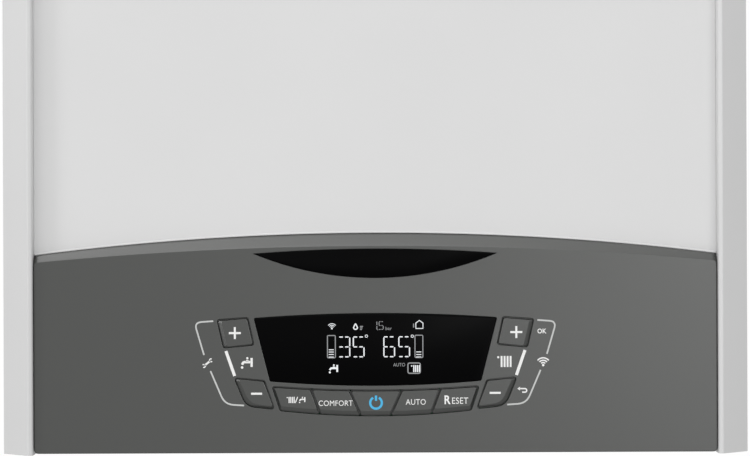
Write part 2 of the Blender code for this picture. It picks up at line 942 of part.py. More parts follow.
def window_outline():
    return outline([
        (-window_low_half, up(window_low_side), window_corner, window_low_side - window_low_mid),
        (window_low_half, up(window_low_side), window_corner, 0),
        (window_top_half, up(window_top_side), window_corner, window_top_mid - window_top_side),
        (-window_top_half, up(window_top_side), window_corner, 0),
    ], steps=12)


def plus_outline():
    return outline([(x, up(height), key_corner, 0) for x, height in plus_corners])


def minus_outline():
    radii = [key_corner, minus_corner, key_corner, key_corner]
    return outline([(x, up(height), radius, 0) for (x, height), radius in zip(minus_corners, radii)],
                   corner_steps=5)


def row_edge(half_top, top_side, top_mid, x):
    """The height of one of the row's arcs, which sag towards the middle, at a distance x."""
    sag = top_side - top_mid
    radius = (half_top ** 2 + sag ** 2) / (2 * sag)
    return top_mid + radius - math.sqrt(radius ** 2 - x ** 2)


def row_top(x):
    return row_edge(row_top_half, row_top_side, row_top_mid, x)


def row_low(x):
    return row_edge(row_low_half, row_low_side, row_low_mid, x)


def row_key_outline(left, right):
    """One key of the row, between its left and right edges, each given as (top x, low x)."""
    (left_top, left_low), (right_top, right_low) = left, right
    low_sag = (row_low(left_low) + row_low(right_low)) / 2 - row_low((left_low + right_low) / 2)
    top_sag = (row_top(left_top) + row_top(right_top)) / 2 - row_top((left_top + right_top) / 2)
    return outline([
        (left_low, up(row_low(left_low)), key_corner, low_sag),
        (right_low, up(row_low(right_low)), key_corner, 0),
        (right_top, up(row_top(right_top)), key_corner, -top_sag),
        (left_top, up(row_top(left_top)), key_corner, 0),
    ], steps=6)


def row_outline():
    return row_key_outline((-row_top_half, -row_low_half), (row_top_half, row_low_half))


def key_outlines():
    """Every key's name and outline, from left to right along the row."""
    keys = [
        ("button_water_plus", mirrored(plus_outline())),
        ("button_water_minus", mirrored(minus_outline())),
        ("button_heating_plus", plus_outline()),
        ("button_heating_minus", minus_outline()),
    ]
    edges = [(-row_top_half, -row_low_half), *row_dividers, (row_top_half, row_low_half)]
    for i, name in enumerate(row_keys):
        left_shift = row_gap / 2 if i else 0
        right_shift = row_gap / 2 if i < len(row_keys) - 1 else 0
        left = tuple(x + left_shift for x in edges[i])
        right = tuple(x - right_shift for x in edges[i + 1])
        keys.append((name, row_key_outline(left, right)))
    return keys


def control_fascia():
    """The moulded front: an arched plate with a bevelled top, hollow behind, with its apertures."""
    corner = fascia_corner
    full = arch(panel_half, fascia_side_height, fascia_mid_height, 0.0, corner)
    face = arch(panel_half, fascia_face_side_height, fascia_face_mid_height, 0.0, corner)
    sections = [
        at_depth(face, fascia_front),
        at_depth(full, fascia_front + fascia_bevel_depth),
        at_depth(full, fascia_rear),
    ]
    made = new_object("control_fascia", loft_mesh("control_fascia", sections), "dark_plastic")
    hollow = arch(panel_half - fascia_wall, fascia_face_side_height - fascia_wall,
                  fascia_face_mid_height - fascia_wall, fascia_wall, corner)
    made = cut(made, plate_mesh(hollow, fascia_front + fascia_wall, fascia_rear + past))
    made = cut(made, plate_mesh(badge_outline(), fascia_front - past, fascia_front + badge_pocket))
    apertures = [window_outline()]
    for points in (plus_outline(), minus_outline(), row_outline()):
        apertures.append(grown(points, aperture_clearance))
    apertures += [mirrored(points) for points in apertures[1:3]]
    for points in apertures:
        made = cut(made, plate_mesh(points, fascia_front - past, fascia_front + fascia_wall + seat))
    return smooth(made)


def badge_lens():
    points = grown(badge_outline(), -lens_clearance)
    return plate("badge_lens", points, fascia_front - seat, fascia_front + badge_pocket - seat,
                 "black_gloss")


def display_window():
    points = grown(window_outline(), -lens_clearance)
    return plate("display_window", points, fascia_front - seat, fascia_front + lens_thickness,
                 "black_gloss")


def keys():
    """Nine keys, each with a stem that ends one travel and a clearance in front of its board."""
    stem_end = board_front - key_travel - seat
    front = fascia_front - key_proud
    for name, points in key_outlines():
        made = plate(name, points, front, front + key_skirt, "dark_plastic")
        made = bevel(made, key_edge, 1, 50)
        middle = sum(points, Vector((0, 0))) / len(points)
        stem = cylinder_mesh("stem", (middle.x, front + key_skirt - root, middle.y),
                             (middle.x, stem_end, middle.y), key_stem_radius, sides=12)
        fuse(made, stem)


def display_board():
    """The board behind the keys, with the display module standing on it up to the window."""
    made = block("display_board", (-board_half, board_front, up(board_low)),
                 (board_half, board_front + board_thickness, up(board_high)), "green_board")
    module = box_mesh("module", (-module_half, fascia_front + lens_thickness + seat, up(module_low)),
                      (module_half, board_front + root, up(module_high)))
    return fuse(made, module)


def control_box_back():
    """The box behind the fascia: a pan with a rim, posts for the board, and two hinge pins."""
    front = fascia_rear + seat
    floor = box_back - box_wall
    made = plate("control_box_back", rectangle(box_half, up(box_bottom), up(box_top), box_corner), front,
                 box_back, "black_plastic")
    rim = box_mesh("rim", (-flange_half, front, up(flange_low)),
                   (flange_half, front + box_wall, up(flange_top)))
    pocket = rectangle(box_half - box_wall, up(box_bottom + box_wall), up(box_top - box_wall),
                       box_corner / 2)
    made = cut(fuse(made, rim), plate_mesh(pocket, front - past, floor))
    for side in (-1, 1):
        for height in (board_low + post_inset, board_high - post_inset):
            x = side * (board_half - post_inset)
            post = cylinder_mesh("post", (x, floor + root, up(height)),
                                 (x, board_front + board_thickness + seat, up(height)), post_radius,
                                 sides=12)
            made = fuse(made, post)
        pin = cylinder_mesh("pin", (side * (box_half - root), pin_y, up(pin_height)),
                            (side * (box_half + pin_length), pin_y, up(pin_height)), pin_radius, sides=24)
        made = fuse(made, pin)
    return smooth(made)


def main_board():
    """The power board in the box, with its transformer, relays and terminals."""
    rear = box_back - box_wall - spacer_length
    front = rear - board_thickness
    made = block("main_board", (-main_board_half, front, up(main_board_low)),
                 (main_board_half, rear, up(main_board_high)), "green_board")
    for left, low, right, high, tall in board_pieces:
        made = fuse(made, box_mesh("piece", (left, front - tall, up(low)), (right, front + root, up(high))))
    for x in (-spacer_x, spacer_x):
        spacer = cylinder_mesh("spacer", (x, rear - root, up(spacer_height)),
                               (x, box_back - box_wall - seat, up(spacer_height)), spacer_radius, sides=12)
        made = fuse(made, spacer)
    return made


def hinge_bracket(name, side):
    """A folded steel ear on the side panel, whose hole carries one of the box's pins."""
    ear_x = box_half + pin_length - ear_inset
    foot_x = inner_half - sheet / 2
    path = [
        (side * ear_x, pin_y - bracket_front),
        (side * ear_x, pin_y + bracket_bend),
        (side * foot_x, pin_y + bracket_bend),
        (side * foot_x, pin_y + bracket_rear),
    ]
    made = folded(name, path, up(bracket_low), up(bracket_high), sheet, "galvanised_steel")
    hole = cylinder_mesh("hole", (side * (ear_x - sheet), pin_y, up(pin_height)),
                         (side * (ear_x + sheet), pin_y, up(pin_height)), pin_radius + bracket_clearance,
                         sides=24)
    return cut(made, hole)


# Sealed chamber


def chamber_box():
    """The sheet box that holds the exchanger, burner and fan, open to the front."""
    low, high = up(chamber_bottom), up(chamber_top)
    made = block("chamber_box", (-inner_half, chamber_front, low), (inner_half, chamber_rear, high),
                 "galvanised_steel")
    inside = box_mesh("inside", (-inner_half + sheet, chamber_front - past, low + sheet),
                      (inner_half - sheet, chamber_rear - sheet, high - sheet))
    holes = [cylinder_mesh("hole", (0, flue_y, high - past), (0, flue_y, high + past),
                           flue_outer_radius + hole_gap, sides=24)]
    for x in (-stub_offset, stub_offset):
        holes.append(cylinder_mesh("hole", (x, riser_y, low - past), (x, riser_y, low + past),
                                   pipe_radius + hole_gap, sides=24))
    return cut(made, inside, *holes)


def chamber_cover():
    """The flat front of the chamber, with a pressed panel in it."""
    rear = chamber_front - seat
    front = rear - chamber_cover_thickness
    half = panel_half - chamber_cover_inset
    points = rectangle(half, up(chamber_bottom), up(chamber_top), chamber_cover_corner)
    made = plate("chamber_cover", points, front, rear, "galvanised_steel")
    pressed = rectangle(half - pressed_border, up(chamber_bottom + pressed_border),
                        up(chamber_top - pressed_border), pressed_corner)
    return cut(made, plate_mesh(pressed, front - past, front + pressed_depth))


def heat_exchanger():
    """The round ribbed body, open at the front for the burner, with its two water stubs and flue stub."""
    length = exchanger_rear - exchanger_front
    bands = exchanger_ribs * 2 + 1
    profile = [(0, 0)]
    for k in range(bands):
        radius = exchanger_radius - (rib_depth if k % 2 else 0)
        profile.append((radius, k * length / bands))
        profile.append((radius, (k + 1) * length / bands))
    profile += [(exchanger_bore, length), (exchanger_bore, exchanger_floor), (0, exchanger_floor)]
    made = turned("heat_exchanger", profile, (0, exchanger_rear, up(exchanger_height)), (0, -1, 0),
                  "stainless_steel", steps=24)
    for x in (-stub_offset, stub_offset):
        stub = cylinder_mesh("stub", (x, exchanger_middle, up(stub_low + stub_root)),
                             (x, exchanger_middle, up(stub_low - stub_length)), stub_radius)
        made = fuse(made, stub)
    top = exchanger_height + exchanger_radius
    flue_stub = cylinder_mesh("flue_stub", (0, flue_y, up(top - stub_root)),
                              (0, flue_y, up(top + flue_stub_length)), flue_inner_radius)
    return smooth(fuse(made, flue_stub))


def burner_door():
    """The insulated door over the exchanger's mouth, with its mixture port."""
    rear = exchanger_front - seat
    height = up(exchanger_height)
    profile = [(0, 0), (door_radius, 0), (door_radius, door_rim), (door_radius - door_slope, door_thickness),
               (0, door_thickness)]
    made = turned("burner_door", profile, (0, rear, height), (0, -1, 0), "cast_aluminium", steps=24)
    port = cylinder_mesh("port", (port_x, rear - door_thickness + root, height),
                         (port_x, rear - door_thickness - port_length, height), duct_radius + port_wall)
    hole = cylinder_mesh("hole", (electrode_x, rear + past, height),
                         (electrode_x, rear - door_thickness - past, height), electrode_radius + seat,
                         sides=16)
    return smooth(cut(fuse(made, port), hole))


def burner():
    """The closed metal-fibre cylinder that hangs from the door into the exchanger."""
    profile = [(0, 0), (burner_radius + burner_rim, 0), (burner_radius + burner_rim, burner_rim_thickness),
               (burner_radius, burner_rim_thickness), (burner_radius, burner_length - burner_rim),
               (burner_radius - burner_rim, burner_length), (0, burner_length)]
    return smooth(turned("burner", profile, (0, exchanger_front + seat, up(exchanger_height)), (0, 1, 0),
                         "stainless_steel", steps=24))


def ignition_electrode():
    """The ceramic rod through the door, with its metal tip inside."""
    outside = door_thickness + 2 * seat
    cap = electrode_radius + electrode_cap
    profile = [
        (0, -electrode_tip), (electrode_tip_radius, -electrode_tip), (electrode_tip_radius, -electrode_cap),
        (electrode_radius, 0), (electrode_radius, outside), (cap, outside), (cap, outside + electrode_cap),
        (electrode_radius, outside + electrode_length), (0, outside + electrode_length),
    ]
    base = (electrode_x, exchanger_front - seat, up(exchanger_height))
    return smooth(turned("ignition_electrode", profile, base, (0, -1, 0), "white_ceramic", steps=16))


def fan_housing():
    """The volute: a round cup open to the rear, with an outlet that points down at its right."""
    height = up(fan_height)
    made = cylinder("fan_housing", (fan_x, fan_front, height), (fan_x, fan_rear, height), fan_radius,
                    "cast_aluminium", sides=24)
    outlet_top = height - fan_outlet_root
    outlet_end = height - fan_radius - fan_outlet_length
    outlet = cylinder_mesh("outlet", (fan_outlet_x, fan_outlet_y, outlet_top),
                           (fan_outlet_x, fan_outlet_y, outlet_end), duct_radius + fan_wall)
    cavity = cylinder_mesh("cavity", (fan_x, fan_front + fan_wall, height), (fan_x, fan_rear + past, height),
                           fan_radius - fan_wall, sides=24)
    eye = cylinder_mesh("eye", (fan_x, fan_front - past, height), (fan_x, fan_front + past, height), fan_eye,
                        sides=24)
    bore = cylinder_mesh("bore", (fan_outlet_x, fan_outlet_y, outlet_top - fan_wall),
                         (fan_outlet_x, fan_outlet_y, outlet_end - past), duct_radius)
    return smooth(cut(fuse(made, outlet), cavity, eye, bore))


def bladed_wheel(made, x, height, radius, inner, front, rear, count, thickness):
    """Adds a ring of blades between two discs, sunk a little into both."""
    sink = wheel_thickness / 2
    for k in range(count):
        line = blade_line(x, height, 2 * math.pi * k / count, inner, radius - blade_inset)
        made = fuse(made, plate_mesh(thick_line(line, thickness), front + sink, rear - sink))
    return made


def fan_impeller():
    """A back disc with backward-curved blades, a front ring with the eye in it, and the shaft."""
    height = up(fan_height)
    radius = fan_radius - fan_wall - wheel_clearance
    front = fan_front + fan_wall + wheel_clearance
    rear = front + fan_blade_depth
    profile = [(0, 0), (radius, 0), (radius, wheel_thickness), (fan_hub_radius, wheel_thickness),
               (fan_hub_radius, fan_hub_length), (0, fan_hub_length)]
    made = turned("fan_impeller", profile, (fan_x, rear, height), (0, -1, 0), "black_plastic")
    rim = [(fan_ring_inner, 0), (radius, 0), (radius, wheel_thickness), (fan_ring_inner, wheel_thickness)]
    made = fuse(made, turned_mesh(rim, (fan_x, front, height), (0, 1, 0), closed=True))
    made = bladed_wheel(made, fan_x, height, radius, fan_blade_inner, front, rear, fan_blades,
                        fan_blade_thickness)
    shaft = cylinder_mesh("shaft", (fan_x, rear - root, height), (fan_x, fan_rear + fan_shaft_reach, height),
                          fan_shaft_radius, sides=16)
    return smooth(fuse(made, shaft))


def blade_line(x, height, angle, inner, outer):
    """The middle line of one blade, which leans back as it goes outwards."""
    steps = 2
    sweep = 0.7
    line = []
    for k in range(steps + 1):
        reach = inner + (outer - inner) * k / steps
        turn = angle - sweep * (k / steps) ** 1.3
        line.append(Vector((x + reach * math.cos(turn), height + reach * math.sin(turn))))
    return line


def thick_line(points, thickness):
    """A closed strip round a line."""
    left, right = [], []
    for i, point in enumerate(points):
        before = points[max(i - 1, 0)]
        after = points[min(i + 1, len(points) - 1)]
        along = (after - before).normalized()
        across = Vector((-along.y, along.x)) * thickness / 2
        left.append(point + across)
        right.append(point - across)
    return right + list(reversed(left))


def fan_motor():
    """The motor that closes the back of the volute, bored for the impeller's shaft."""
    height = up(fan_height)
    profile = [(0, 0), (fan_radius, 0), (fan_radius, motor_flange), (motor_radius, motor_flange + sheet),
               (motor_radius, motor_length - motor_corner), (motor_radius - motor_corner, motor_length),
               (0, motor_length)]
    made = turned("fan_motor", profile, (fan_x, fan_rear + seat, height), (0, 1, 0), "black_plastic",
                  steps=24)
    bore_end = fan_rear + fan_shaft_reach + wheel_clearance
    bore = cylinder_mesh("bore", (fan_x, fan_rear - past, height), (fan_x, bore_end, height),
                         fan_shaft_radius + seat, sides=16)
    return smooth(cut(made, bore))


def gas_mixer():
    """The venturi on the fan's eye, with its gas inlet at the left and air inlet at the front."""
    profile = [
        (mixer_inner, 0), (mixer_flange_radius, 0), (mixer_flange_radius, mixer_flange),
        (mixer_radius, mixer_flange), (mixer_radius, mixer_body), (mixer_mouth, mixer_body + mixer_flare),
        (mixer_mouth, mixer_length), (mixer_mouth - sheet, mixer_length), (mixer_inner, mixer_length / 2),
    ]
    height = up(fan_height)
    made = turned("gas_mixer", profile, (fan_x, fan_front - seat, height), (0, -1, 0), "cast_aluminium",
                  steps=24, closed=True)
    inlet_y = fan_front - mixer_radius
    inlet = cylinder_mesh("inlet", (fan_x - mixer_inlet_root, inlet_y, height),
                          (fan_x - mixer_inlet_end, inlet_y, height), mixer_inlet_radius)
    return smooth(fuse(made, inlet))


def mixture_duct():
    """The duct from the fan's outlet down and round to the port on the burner door."""
    start = up(fan_height - fan_radius - fan_outlet_length) - seat
    port = exchanger_front - door_thickness - port_length - 2 * seat
    points = [
        (fan_outlet_x, fan_outlet_y, start),
        (fan_outlet_x, fan_outlet_y, start - duct_drop),
        (fan_outlet_x, port - duct_turn, start - 2 * duct_drop),
        (port_x, port - duct_turn, up(exchanger_height)),
        (port_x, port, up(exchanger_height)),
    ]
    return pipe("mixture_duct", bent_route(points, duct_bend, 4), duct_radius, "black_plastic", 4)


# Flue


def flue_collar():
    """The outer collar on the top cover, which reaches down through it into the chamber."""
    inner = flue_outer_radius - flue_wall
    socket = flue_outer_radius + flue_socket
    socket_top = flue_rise - flue_socket_drop
    profile = [
        (inner, -flue_reach), (flue_outer_radius, -flue_reach), (flue_outer_radius, seat),
        (flue_flange_radius, seat), (flue_flange_radius, flue_flange), (socket, flue_flange + flue_socket),
        (socket, socket_top), (flue_outer_radius, socket_top + flue_socket), (flue_outer_radius, flue_rise),
        (inner, flue_rise),
    ]
    return smooth(turned("flue_collar", profile, (0, flue_y, casing_top), (0, 0, 1), "white_paint",
                         steps=24, closed=True))


def flue_duct():
    """The inner duct, from the exchanger's stub up inside the collar."""
    base = up(exchanger_height + exchanger_radius + flue_stub_length) + seat
    length = casing_top + flue_rise - base
    inner = flue_inner_radius - flue_wall
    socket = flue_inner_radius + duct_socket
    profile = [
        (inner, 0), (socket, 0), (socket, duct_socket_length),
        (flue_inner_radius, duct_socket_length + duct_socket), (flue_inner_radius, length), (inner, length),
    ]
    return smooth(turned("flue_duct", profile, (0, flue_y, base), (0, 0, 1), "grey_plastic", steps=40,
                         closed=True))


# Hydraulics


def group_body(name, left, right):
    """A moulded hydraulic block between two sides."""
    made = block(name, (left, group_front, up(group_bottom)),
                 (right, group_rear, up(group_bottom + group_block)), "black_plastic")
    return bevel(made, group_edge, 2)


def flow_group():
    """The left block: heating flow and hot water outlets, with the diverter valve's bore."""
    base = up(group_bottom + group_block - group_root)
    made = group_body("flow_group", -group_outer, -group_inner)
    tower = cylinder_mesh("tower", (spindle_x, spindle_y, base), (spindle_x, spindle_y, up(group_top)),
                          tower_radius)
    riser = cylinder_mesh("riser", (-stub_offset, riser_y, base), (-stub_offset, riser_y, up(group_top)),
                          riser_radius, sides=24)
    bridge = box_mesh("bridge", (spindle_x, spindle_y - bridge_front, base + root),
                      (-stub_offset + group_edge, spindle_y + bridge_rear, up(group_top - bridge_drop)))
    bore_low = up(group_top - spindle_sink - spindle_travel - spindle_end_gap)
    bore = cylinder_mesh("bore", (spindle_x, spindle_y, bore_low),
                         (spindle_x, spindle_y, up(group_top) + past), spindle_radius + spindle_clearance)
    return smooth(cut(fuse(made, tower, riser, bridge), bore))


def diverter_motor():
    """The motor clipped over the valve, bored for the spindle."""
    low = up(group_top) + seat
    made = block("diverter_motor", (spindle_x - diverter_half, spindle_y - diverter_front, low),
                 (spindle_x + diverter_half, spindle_y + diverter_rear, low + diverter_height),
                 "grey_plastic")
    made = bevel(made, group_edge, 2)
    bore = cylinder_mesh("bore", (spindle_x, spindle_y, low - past),
                         (spindle_x, spindle_y, low + spindle_rise + spindle_clearance),
                         spindle_radius + spindle_clearance)
    return smooth(cut(made, bore))


def diverter_spindle():
    """The pin between the motor and the valve, which moves down to divert the flow."""
    return smooth(cylinder("diverter_spindle", (spindle_x, spindle_y, up(group_top - spindle_sink)),
                           (spindle_x, spindle_y, up(group_top) + seat + spindle_rise), spindle_radius,
                           "stainless_steel", sides=16))


def return_group():
    """The right block: cold inlet and heating return, carrying the pump's volute and the air vent."""
    base = up(group_bottom + group_block - group_root)
    height = up(pump_height)
    vent_x = group_inner + vent_inset
    made = group_body("return_group", group_inner, group_outer)
    neck = box_mesh("neck", (pump_x - neck_half, neck_front, base),
                    (pump_x + neck_half, neck_rear, height - neck_drop))
    vent = cylinder_mesh("vent", (vent_x, -vent_gap, base), (vent_x, -vent_gap, up(group_top + vent_rise)),
                         vent_radius)
    stub = cylinder_mesh("stub", (stub_offset, riser_y, height),
                         (stub_offset, riser_y, height + pump_stub_rise), riser_radius, sides=24)
    relief = cylinder_mesh("relief", (relief_x, group_front + past, up(relief_height)),
                           (relief_x, group_front - relief_length, up(relief_height)), relief_radius,
                           sides=24)
    volute = cylinder_mesh("volute", (pump_x, pump_rear, height), (pump_x, pump_mouth, height), pump_radius,
                           sides=24)
    cavity = cylinder_mesh("cavity", (pump_x, pump_mouth + pump_cavity, height),
                           (pump_x, pump_mouth - past, height), pump_radius - pump_wall, sides=24)
    return smooth(cut(fuse(made, neck, vent, relief, volute, stub), cavity))


def pump_impeller():
    """A front disc with swept blades and a rear ring, on the pump's shaft."""
    height = up(pump_height)
    radius = pump_radius - pump_wall - pump_wheel_gap
    front, rear = pump_wheel_front, pump_wheel_rear
    profile = [(0, 0), (radius, 0), (radius, wheel_thickness), (0, wheel_thickness)]
    made = turned("pump_impeller", profile, (pump_x, front, height), (0, 1, 0), "black_plastic")
    rim = [(pump_ring_inner, 0), (radius, 0), (radius, wheel_thickness), (pump_ring_inner, wheel_thickness)]
    made = fuse(made, turned_mesh(rim, (pump_x, rear, height), (0, -1, 0), closed=True))
    made = bladed_wheel(made, pump_x, height, radius, pump_blade_inner, front, rear, pump_blades,
                        pump_blade_thickness)
    shaft = cylinder_mesh("shaft", (pump_x, front + root, height),
                          (pump_x, front - pump_shaft_length, height), pump_shaft_radius, sides=16)
    return smooth(fuse(made, shaft))


def pump_motor():
    """The can motor that closes the volute, bored for the impeller's shaft."""
    height = up(pump_height)
    length = pump_mouth - seat - pump_front
    can_end = length - pump_plug
    profile = [
        (0, 0), (pump_radius, 0), (pump_radius, pump_flange), (pump_can_radius, pump_flange),
        (pump_can_radius, can_end - pump_corner),
        (pump_cap_radius, can_end), (pump_plug_radius, can_end), (pump_plug_radius, length), (0, length),
    ]
    made = turned("pump_motor", profile, (pump_x, pump_mouth - seat, height), (0, -1, 0), "black_plastic",
                  steps=24)
    terminal = box_mesh("terminal",
                        (pump_x - terminal_half, pump_mouth - terminal_front, height + terminal_low),
                        (pump_x + terminal_half, pump_mouth - terminal_rear, height + terminal_high))
    bore = cylinder_mesh("bore", (pump_x, pump_mouth + past, height),
                         (pump_x, pump_wheel_front - pump_shaft_length - pump_shaft_gap, height),
                         pump_shaft_radius + seat, sides=16)
    return smooth(cut(fuse(made, terminal), bore))


def plate_exchanger():
    """The stack of brazed plates between the two blocks, for hot water."""
    rear = group_front - seat
    face = rear - stack_plate
    made = plate("plate_exchanger", rectangle(stack_half, up(stack_low), up(stack_high), stack_corner), face,
                 rear, "stainless_steel")
    sections = []
    for k in range(stack_plates):
        inset = stack_inset + (stack_step if k % 2 else 0)
        points = rectangle(stack_half - inset, up(stack_low + inset), up(stack_high - inset),
                           stack_corner - stack_step)
        start = face - stack_pitch * k + (0 if k else stack_root)
        sections += [at_depth(points, start), at_depth(points, face - stack_pitch * (k + 1))]
    return fuse(made, loft_mesh("stack", sections))


def gas_valve():
    """The gas valve: a block with two coil housings and a nipple up to the chamber."""
    made = block("gas_valve", (-valve_half, valve_front, up(valve_low)),
                 (valve_half, valve_rear, up(valve_high)), "cast_aluminium")
    made = bevel(made, valve_edge, 2)
    for x in (-coil_x, coil_x):
        coil = cylinder_mesh("coil", (x, valve_front + coil_root, up(coil_height)),
                             (x, valve_front - coil_length, up(coil_height)), coil_radius, sides=24)
        made = fuse(made, coil)
    nipple = cylinder_mesh("nipple", (0, nipple_y, up(valve_high - nipple_root)),
                           (0, nipple_y, up(chamber_bottom) - seat), nipple_radius, sides=24)
    return smooth(fuse(made, nipple))


def gas_pipe():
    """From the gas union up behind the plate exchanger and forwards into the gas valve."""
    points = [
        (0, union_y, up(group_bottom)),
        (0, union_y, up(gas_inlet_height)),
        (0, valve_rear + seat, up(gas_inlet_height)),
    ]
    return pipe("gas_pipe", bent_route(points, gas_bend), pipe_radius, "copper")


def water_pipe(name, side, start):
    """From a hydraulic block up through the chamber's floor to a stub of the exchanger."""
    x = side * stub_offset
    points = [
        (x, riser_y, up(start) + seat),
        (x, riser_y, up(chamber_bottom + pipe_turn_low)),
        (x, exchanger_middle, up(chamber_bottom + pipe_turn_high)),
        (x, exchanger_middle, up(stub_low - stub_length) - seat),
    ]
    return pipe(name, bent_route(points, pipe_bend, 4), pipe_radius, "copper")


def condensate_trap():
    """The bottle trap under the chamber, with its outlet at the lower end."""
    length = chamber_bottom - trap_bottom - seat
    outlet, low, high, shoulder, neck = trap_levels
    profile = [
        (0, 0), (trap_neck, 0), (trap_neck, outlet), (trap_radius, low), (trap_radius, high),
        (trap_shoulder, shoulder), (trap_neck, neck), (trap_neck, length), (0, length),
    ]
    return smooth(turned("condensate_trap", profile, (trap_x, trap_y, up(trap_bottom)), (0, 0, 1),
                         "grey_plastic", steps=24))


def expansion_vessel():
    """Two dished steel halves with a rolled seam, flat behind the chamber."""
    seam = vessel_depth / 2
    side = vessel_radius - vessel_rim
    shoulder = vessel_radius - vessel_shoulder
    crown = vessel_radius - vessel_crown
    near, far = vessel_levels
    step = vessel_seam + vessel_seam_step
    profile = [
        (0, 0), (crown, 0), (shoulder, near), (side, far), (side, seam - step),
        (vessel_radius, seam - vessel_seam), (vessel_radius, seam + vessel_seam), (side, seam + step),
        (side, vessel_depth - far), (shoulder, vessel_depth - near), (crown, vessel_depth),
        (0, vessel_depth),
    ]
    made = turned("expansion_vessel", profile, (0, -sheet - seat, up(vessel_height)), (0, -1, 0),
                  "red_paint", steps=24)
    nipple = cylinder_mesh("nipple", (0, hose_y, up(vessel_low + vessel_shoulder)),
                           (0, hose_y, up(vessel_low - vessel_nipple_length)), vessel_nipple_radius)
    return smooth(fuse(made, nipple))


def vessel_hose():
    """The flexible line from the vessel's nipple down to the return block."""
    start = up(vessel_low - vessel_nipple_length) - seat
    end_x, end_y = group_inner + hose_shift, hose_y - hose_step
    points = [
        (0, hose_y, start),
        (0, hose_y, start - hose_fall),
        (end_x, end_y, start - hose_fall - hose_slope),
        (end_x, end_y, up(group_bottom + group_block) + seat),
    ]
    return pipe("vessel_hose", bent_route(points, hose_bend, 5), hose_radius, "stainless_steel")


def turning_knob(name, base, direction, neck, radius, length):
    """A lobed hand knob with a short neck, turned about its own axis."""
    neck_end, rim, edge = length * 0.35, length * 0.40, length * 0.92
    profile = [(0, 0), (neck, 0), (neck, neck_end), (radius, rim), (radius, edge),
               (radius - knob_edge, length), (0, length)]
    made = turned(name, profile, base, direction, "grey_plastic", steps=24)
    axis = Vector(direction)
    turn = axis.to_track_quat("Z", "Y")
    for k in range(knob_lobes):
        angle = 2 * math.pi * k / knob_lobes
        across = turn @ Vector((math.cos(angle), math.sin(angle), 0)) * (radius + flute_offset)
        start = Vector(base) + across + axis * neck_end
        made = cut(made, cylinder_mesh("flute", start, start + axis * length, flute_radius, sides=10))
    return smooth(made)


def safety_valve_knob():
    base = (relief_x, group_front - relief_length - seat, up(relief_height))
    return turning_knob("safety_valve_knob", base, (0, -1, 0), knob_neck, knob_radius, knob_length)


def filling_knob():
    """The filling tap's knob, whose stem passes up through the plate to the return block."""
    top = up(plate_height) - filling_sink
    made = turning_knob("filling_knob", (filling_x, union_y, top), (0, 0, -1), filling_stem, filling_radius,
                        filling_length)
    stem = cylinder_mesh("stem", (filling_x, union_y, top - root),
                         (filling_x, union_y, up(group_bottom) - seat), filling_stem)
    return smooth(fuse(made, stem))


side_panel("side_panel_left", -1)
side_panel("side_panel_right", 1)
top_cover()
rear_frame()
hanging_rail()
bottom_plate()
front_crossbar()
hinge_bracket("hinge_bracket_left", -1)
hinge_bracket("hinge_bracket_right", 1)
front_cover()
control_fascia()
badge_lens()
display_window()
display_board()
control_box_back()
main_board()
keys()
chamber_box()
chamber_cover()
heat_exchanger()
burner_door()
burner()
ignition_electrode()
fan_housing()
fan_impeller()
fan_motor()
gas_mixer()
mixture_duct()
flue_collar()
flue_duct()
condensate_trap()
gas_valve()
gas_pipe()
return_group()
pump_motor()
pump_impeller()
flow_group()
diverter_motor()
diverter_spindle()
plate_exchanger()
expansion_vessel()
vessel_hose()
water_pipe("flow_pipe", -1, group_top)
water_pipe("return_pipe", 1, pump_height + pump_stub_rise)
cable_gland()
safety_valve_knob()
filling_knob()
unions()
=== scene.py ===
import math
from itertools import product

import bmesh
import bpy
from mathutils import Matrix, Vector


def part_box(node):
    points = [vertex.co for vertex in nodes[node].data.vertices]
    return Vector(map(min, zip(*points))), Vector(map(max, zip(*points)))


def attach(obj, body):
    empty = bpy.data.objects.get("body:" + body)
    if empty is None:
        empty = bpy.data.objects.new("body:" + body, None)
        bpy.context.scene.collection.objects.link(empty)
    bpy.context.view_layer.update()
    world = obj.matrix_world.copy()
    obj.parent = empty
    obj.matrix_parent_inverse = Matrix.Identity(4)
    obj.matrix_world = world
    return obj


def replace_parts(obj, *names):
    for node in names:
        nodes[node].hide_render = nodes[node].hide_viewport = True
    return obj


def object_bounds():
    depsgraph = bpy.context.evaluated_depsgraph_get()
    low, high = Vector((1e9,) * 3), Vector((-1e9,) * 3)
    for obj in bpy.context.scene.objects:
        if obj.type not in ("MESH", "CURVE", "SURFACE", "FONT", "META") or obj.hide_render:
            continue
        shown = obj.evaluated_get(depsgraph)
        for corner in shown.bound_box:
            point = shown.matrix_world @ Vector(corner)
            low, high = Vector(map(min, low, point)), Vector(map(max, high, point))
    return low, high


# Looks of a wall-hung condensing boiler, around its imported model. Metres, +Z up, front towards -Y.
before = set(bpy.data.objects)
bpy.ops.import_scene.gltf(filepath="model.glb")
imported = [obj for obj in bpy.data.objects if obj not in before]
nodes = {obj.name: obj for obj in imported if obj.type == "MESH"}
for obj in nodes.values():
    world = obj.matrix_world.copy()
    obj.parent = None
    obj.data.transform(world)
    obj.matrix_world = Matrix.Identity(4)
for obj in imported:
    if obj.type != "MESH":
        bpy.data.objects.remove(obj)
cadBounds = [list(corner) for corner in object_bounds()]
print("frame loaded:", len(nodes), "nodes")

sideLow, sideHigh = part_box("side_panel_right")
coverLow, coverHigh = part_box("front_cover")
fasciaLow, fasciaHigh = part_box("control_fascia")
baseZ = fasciaLow.z            # heights below are measured up from the fascia's lower edge
faceY = fasciaLow.y            # the fascia's front face
coverY = coverLow.y
noseY = sideLow.y
fasciaHalf = fasciaHigh.x
casingHalf = sideHigh.x


# Materials

